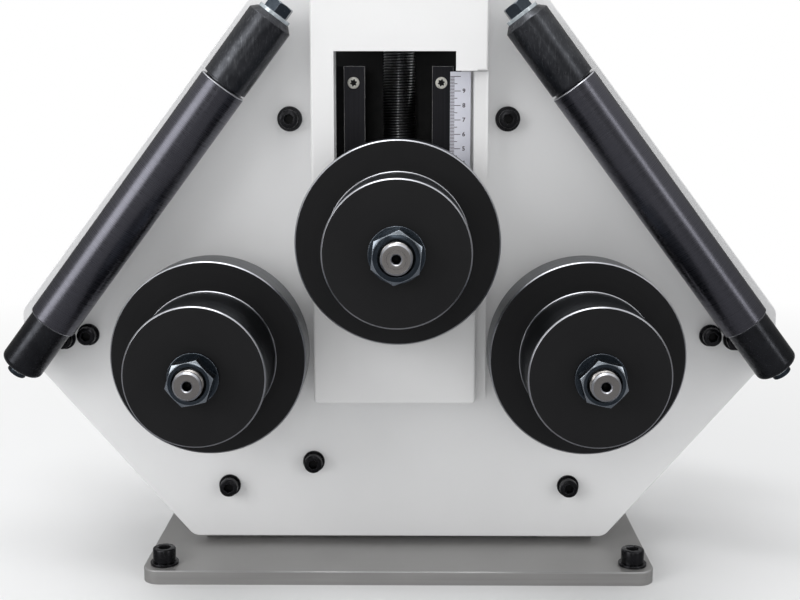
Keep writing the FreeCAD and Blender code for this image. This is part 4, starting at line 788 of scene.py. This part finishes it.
# Screws and washers on the front of the frame
plateScrew = {"head": 6.5 * mm, "height": 8.0 * mm, "socket": 6.0 * mm, "shank": 4.0 * mm, "reach": 24.0 * mm}
stripScrew = {"head": 4.1 * mm, "height": 2.5 * mm, "socket": 4.2 * mm, "shank": 2.0 * mm, "reach": 17.0 * mm}
baseBolt = {"head": 8.0 * mm, "height": 10.0 * mm, "socket": 8.0 * mm, "shank": 5.0 * mm, "reach": 11.5 * mm}
# a solid thinner than thin is a washer, and a washer wider than wide is a top one
screwWasher = {"thin": 3.0 * mm, "wide": 17.0 * mm, "play": 0.25 * mm}


def screwPattern(size, outward, material, lobes=False):
    outline = socketOutline(size["head"], size["height"], size["socket"], size["shank"], size["reach"], lobes)
    # the socket floor and walls get the painted recess shade
    return lathe("pattern", outline, Vector(), outward, material, 0.15 * mm, steps=72, turn=15,
                 bands={0: recessBlack, 1: recessBlack})


def makePlateScrews():
    thin = screwWasher["thin"]
    rings = [(low, high) for low, high in solidBoxes("front_plate_screws") if high.y - low.y < thin]
    seats = [Vector(((low.x + high.x) / 2, low.y, (low.z + high.z) / 2)) for low, high in rings]
    heads = repeat("plateScrews", screwPattern(plateScrew, toFront, screwBlack), screwBlack, seats)
    standsFor(heads, "front_plate_screws")
    for name, wide in (("plateWashers", False), ("topWashers", True)):
        chosen = [(low, high) for low, high in rings if (high.x - low.x > screwWasher["wide"]) == wide]
        low, high = chosen[0]
        bore = plateScrew["shank"] + screwWasher["play"]
        outline = ringOutline(bore, (high.x - low.x) / 2, high.y - low.y)
        pattern = lathe("pattern", outline, Vector(), toFront, screwBlack, 0.3 * mm, steps=72, closed=True)
        feet = [Vector(((a.x + b.x) / 2, b.y, (a.z + b.z) / 2)) for a, b in chosen]
        goesWith(repeat(name, pattern, screwBlack, feet), "front_plate_screws")


def makeStripScrews():
    boxes = solidBoxes("strip_screws")
    seats = [Vector(((low.x + high.x) / 2, low.y + stripScrew["height"], (low.z + high.z) / 2))
             for low, high in boxes]
    heads = repeat("stripScrews", screwPattern(stripScrew, toFront, screwBright, True), screwBright, seats)
    standsFor(heads, "strip_screws")


def makeBaseBolts():
    thin = screwWasher["thin"]
    rings = [(low, high) for low, high in solidBoxes("base_bolts") if high.z - low.z < thin]
    seats = [Vector(((low.x + high.x) / 2, (low.y + high.y) / 2, high.z)) for low, high in rings]
    standsFor(repeat("baseBolts", screwPattern(baseBolt, toTop, screwBlack), screwBlack, seats), "base_bolts")
    low, high = rings[0]
    outline = ringOutline(baseBolt["shank"] + screwWasher["play"], (high.x - low.x) / 2, high.z - low.z)
    pattern = lathe("pattern", outline, Vector(), toTop, screwBlack, 0.4 * mm, steps=72, closed=True)
    feet = [Vector((seat.x, seat.y, low.z)) for seat in seats]
    goesWith(repeat("baseWashers", pattern, screwBlack, feet), "base_bolts")


makePlateScrews()
makeStripScrews()
makeBaseBolts()
print("screws made")


# Slide, spindle and cross handle
for node, material, edge in (("slide_block", innerBlack, 0.4), ("slide_bushes", bronze, 0.2),
                             ("thrust_plate", innerBlack, 0.3), ("scale_pointer", brightSteel, 0.1),
                             ("handle_hub", holderBlack, 0.3), ("handle_pin", millSteel, 0.2)):
    standsFor(cadCopy(node, material, edge * mm), node)
spindleSize = {"radius": 12.0 * mm, "stem": 8.0 * mm, "pitch": 2.0 * mm, "depth": 1.05 * mm,
               "collar": 15.0 * mm, "collarHeight": 13.4 * mm, "neck": 8.0 * mm, "stemLength": 15.0 * mm,
               "plainTop": 10.0 * mm, "runOut": 1.0 * mm, "crest": 0.15 * mm}
crossBar = {"knob": 15.0 * mm, "seat": 10.0 * mm, "chamfer": 1.0 * mm, "gap": 0.2 * mm, "lip": 1.0 * mm,
            "rows": 32}


def makeSpindle():
    low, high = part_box("spindle")
    s = spindleSize
    foot = Vector(((low.x + high.x) / 2, (low.y + high.y) / 2, low.z))
    length = high.z - low.z
    hubStart = length - s["stemLength"]
    threadStart = s["collarHeight"] + s["neck"]
    threadEnd = hubStart - s["plainTop"]

    def outline(angle):
        rows = [(0, 0), (s["collar"], 0), (s["collar"], s["collarHeight"]), (s["radius"], s["collarHeight"])]
        rows += threadRows(threadStart, threadEnd, s["radius"], s["pitch"], s["depth"], angle)
        rows += [(s["radius"], threadEnd + s["runOut"]), (s["radius"], hubStart), (s["stem"], hubStart)]
        return rows + [(s["stem"], length), (0, length)]

    # the thread roots are painted near-black as shade and the crests painted bright as highlight
    steel = threadSteel("spindleSteel", foot, root=s["radius"] - s["depth"], crest=s["radius"] - s["crest"],
                        low=(0.012, 0.012, 0.013), high=(0.78, 0.78, 0.80))
    body = lathe("spindleThread", outline, foot, toTop, steel, edge=0, steps=48)
    smooth(body, 40)
    standsFor(body, "spindle")


def makeCrossBar():
    low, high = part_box("tommy_bar")
    radius, length, c = (high.z - low.z) / 2, high.x - low.x, crossBar["chamfer"]
    middle = (low + high) / 2
    outline = [(0, 0), (radius - c, 0), (radius, c), (radius, length - c), (radius - c, length), (0, length)]
    foot = Vector((low.x, middle.y, middle.z))
    body = lathe("crossBar", fixedOutline(outline), foot, Vector((1, 0, 0)), brightSteel, 0.2 * mm, steps=96)
    standsFor(body, "tommy_bar")
    knobLow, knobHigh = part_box("bar_knobs")
    ball, mouth, steps = crossBar["knob"], radius + crossBar["gap"], crossBar["rows"]
    lip = mouth + crossBar["lip"]
    flat = math.sqrt(ball**2 - lip**2)
    first = math.asin(lip / ball)
    for hand, side in (("left", -1), ("right", 1)):
        outward = Vector((side, 0, 0))
        end = knobHigh.x if side > 0 else knobLow.x
        centre = Vector((end - side * ball, middle.y, middle.z))
        rows = [(0, crossBar["seat"] - flat), (mouth, crossBar["seat"] - flat), (mouth, -flat)]
        for i in range(steps + 1):
            angle = first + (math.pi - first) * i / steps
            rows.append((ball * math.sin(angle) if i < steps else 0, -ball * math.cos(angle)))
        knob = lathe(hand + "Knob", fixedOutline(rows), centre, outward, blackPlastic, edge=0, steps=64)
        smooth(knob, 30)
        standsFor(knob, "bar_knobs")


makeSpindle()
makeCrossBar()
print("slide and spindle dressed")


# Hand crank
for node, material, edge in (("crank_shaft", brightSteel, 0.2), ("crank_arm", holderBlack, 0.3),
                             ("grip_pin", brightSteel, 0.2)):
    standsFor(cadCopy(node, material, edge * mm), node)
grip = {"middle": 14.0 * mm, "end": 11.0 * mm, "bore": 5.05 * mm, "rows": 28, "endRound": 1.4 * mm}


def makeGrip():
    low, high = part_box("crank_grip")
    middle = (low + high) / 2
    length = high.y - low.y
    rows = [(grip["bore"], 0), (grip["end"] - grip["endRound"], 0)]
    for i in range(1, grip["rows"]):
        share = i / grip["rows"]
        swell = 1 - (2 * share - 1)**2
        rows.append((grip["end"] + (grip["middle"] - grip["end"]) * swell, length * share))
    rows += [(grip["end"] - grip["endRound"], length), (grip["bore"], length)]
    foot = Vector((middle.x, low.y, middle.z))
    body = lathe("gripBody", fixedOutline(rows), foot, toRear, blackPlastic, edge=0, steps=96, closed=True)
    smooth(body, 50)
    standsFor(body, "crank_grip")


makeGrip()
print("crank dressed")


# Scale: white strip, ruler lines and figures
ruler = {"spacing": 1.0 * mm, "start": 251.4 * mm, "count": 101, "long": 7.2 * mm, "middle": 4.9 * mm,
         "short": 2.9 * mm, "width": 0.44 * mm, "depth": 0.05 * mm, "margin": 0.1 * mm, "figures": 10,
         "figureEvery": 10, "figureX": 45.6 * mm, "figureHeight": 4.1 * mm, "figureWeight": 0.1 * mm}


def plainTone(name, low, high, roughness):
    material, tree, shader, place = blank(name, Roughness=roughness)
    cloud = use(tree, mottle, {"Place": place, "Size": 60.0, "Low": 0.0, "High": 1.0})["Level"]
    tree.links.new(tint(tree, cloud, low, high), shader.inputs["Base Color"])
    return material


def makeScale():
    white = plainTone("scaleWhite", low=(0.72, 0.73, 0.82), high=(0.78, 0.79, 0.87), roughness=0.4)
    ink = plainTone("scaleInk", low=(0.028, 0.018, 0.026), high=(0.05, 0.03, 0.045), roughness=0.5)
    standsFor(cadCopy("scale_strip", white, 0.1 * mm), "scale_strip")
    low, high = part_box("scale_strip")
    face = low.y
    count = min(ruler["count"], int((high.z - ruler["start"]) / ruler["spacing"]))
    first = (low.x + ruler["margin"], face, ruler["start"])
    values = {"Count": count, "Spacing": ruler["spacing"], "Start": first, "Width": ruler["width"],
              "Depth": 2 * ruler["depth"], "Finish": ink, "Long": ruler["long"], "Middle": ruler["middle"],
              "Short": ruler["short"]}
    goesWith(grow("rulerLines", tickTree, values), "scale_strip")
    upright = Matrix.Rotation(math.radians(90), 4, "X")
    for figure in range(ruler["figures"]):
        curve = bpy.data.curves.new("figure" + str(figure), "FONT")
        curve.body = str(figure)
        curve.size = ruler["figureHeight"]
        curve.align_x = "CENTER"
        curve.align_y = "CENTER"
        curve.extrude = ruler["depth"]
        curve.offset = ruler["figureWeight"]
        curve.materials.append(ink)
        text = bpy.data.objects.new("figureText", curve)
        bpy.context.scene.collection.objects.link(text)
        bpy.context.view_layer.update()
        mesh = bpy.data.meshes.new_from_object(text)
        bpy.data.objects.remove(text)
        height = ruler["start"] + figure * ruler["figureEvery"] * ruler["spacing"]
        place = Vector((ruler["figureX"], face, height))
        mesh.transform(Matrix.Translation(place) @ upright)
        piece = bpy.data.objects.new("figure" + str(figure), mesh)
        bpy.context.scene.collection.objects.link(piece)
        goesWith(piece, "scale_strip")


makeScale()
print("scale made")


# Floor, background, light and camera
studio = {"floorSize": 14.0, "floorTone": (0.86, 0.865, 0.87), "mirroredFloor": (0.24, 0.24, 0.25),
          "fadeFrom": 0.35, "fadeTo": 1.3, "worldTone": (1.0, 1.0, 1.0), "worldLight": 0.78,
          "horizonGloss": 0.2, "ceilingFrom": 0.25, "ceilingTo": 0.8, "lens": 56.83, "sensor": 36.0,
          "camera": (0.00868, -0.8994, 0.34177), "pitch": 9.42, "yaw": 0.4925}
lamps = {"overhead": {"place": (-0.2, -0.3, 1.7), "target": (0, 0, 0.2), "size": (1.4, 0.4), "power": 7.5},
         "frontLeft": {"place": (-1.6, -1.45, 0.9), "target": (0, 0, 0.22), "size": (1.3, 1.3), "power": 17},
         "frontRight": {"place": (1.6, -1.5, 0.85), "target": (0, 0, 0.22), "size": (0.4, 1.2), "power": 5},
         "frontStrip": {"place": (-0.1, -2.4, 0.75), "target": (0, 0, 0.3), "size": (0.3, 0.9), "power": 2.2}}


def makeFloor():
    half = studio["floorSize"] / 2
    mesh = bpy.data.meshes.new("floor")
    corners = [(-half, -half, 0), (half, -half, 0), (half, half, 0), (-half, half, 0)]
    mesh.from_pydata(corners, [], [(0, 1, 2, 3)])
    floor = bpy.data.objects.new("floor", mesh)
    bpy.context.scene.collection.objects.link(floor)
    material, tree, shader, place = blank("floorTone", Roughness=0.6, Specular_IOR_Level=0.15)
    rays = put(tree, "ShaderNodeLightPath").outputs
    tone = tint(tree, rays["Is Glossy Ray"], studio["floorTone"], studio["mirroredFloor"])
    tree.links.new(tone, shader.inputs["Base Color"])
    # far from the machine the camera sees plain white, so that no horizon shows
    distance = put(tree, "ShaderNodeVectorMath", {0: place}, operation="LENGTH").outputs["Value"]
    far = remap(tree, distance, studio["fadeFrom"], studio["fadeTo"], 0.0, 1.0)
    glow = put(tree, "ShaderNodeEmission", {"Color": (1, 1, 1, 1), "Strength": 1.0}).outputs[0]
    seen = calc(tree, "MULTIPLY", far, rays["Is Camera Ray"])
    mixed = put(tree, "ShaderNodeMixShader", {0: seen, 1: shader.outputs[0], 2: glow}).outputs[0]
    tree.links.new(mixed, tree.nodes["Material Output"].inputs["Surface"])
    mesh.materials.append(material)


def makeWorld():
    world = bpy.data.worlds.new("studioWorld")
    bpy.context.scene.world = world
    world.use_nodes = True
    tree = world.node_tree
    light = tree.nodes["Background"]
    light.inputs["Color"].default_value = (*studio["worldTone"], 1.0)
    rays = put(tree, "ShaderNodeLightPath").outputs
    seen = calc(tree, "MAXIMUM", rays["Is Camera Ray"], rays["Is Transmission Ray"])
    # bare metal mirrors a white ceiling over a dimmer room
    towards = put(tree, "ShaderNodeTexCoord").outputs["Generated"]
    height = put(tree, "ShaderNodeSeparateXYZ", {0: towards}).outputs["Z"]
    room = remap(tree, height, studio["ceilingFrom"], studio["ceilingTo"], studio["horizonGloss"], 1.0)
    levels = {"Factor": rays["Is Glossy Ray"], "A": studio["worldLight"], "B": room}
    mirrored = put(tree, "ShaderNodeMix", levels)
    strength = put(tree, "ShaderNodeMix", {"Factor": seen, "A": mirrored.outputs[0], "B": 1.0})
    tree.links.new(strength.outputs[0], light.inputs["Strength"])


def areaLight(name, place, target, size, power):
    lamp = bpy.data.lights.new(name, "AREA")
    lamp.shape = "RECTANGLE"
    lamp.size, lamp.size_y = size
    lamp.energy = power
    holder = bpy.data.objects.new(name, lamp)
    bpy.context.scene.collection.objects.link(holder)
    holder.location = place
    holder.rotation_euler = (Vector(target) - Vector(place)).to_track_quat("-Z", "Y").to_euler()


def makeCamera():
    camera = bpy.data.objects.new("camera", bpy.data.cameras.new("camera"))
    bpy.context.scene.collection.objects.link(camera)
    camera.data.lens = studio["lens"]
    camera.data.sensor_width = studio["sensor"]
    camera.data.clip_start = 0.01
    camera.location = studio["camera"]
    camera.rotation_euler = (math.radians(90 - studio["pitch"]), 0, math.radians(studio["yaw"]))
    bpy.context.scene.camera = camera


makeFloor()
makeWorld()
for name, lamp in lamps.items():
    areaLight(name, **lamp)
makeCamera()
bpy.context.scene.view_settings.view_transform = "Standard"
print("studio ready")
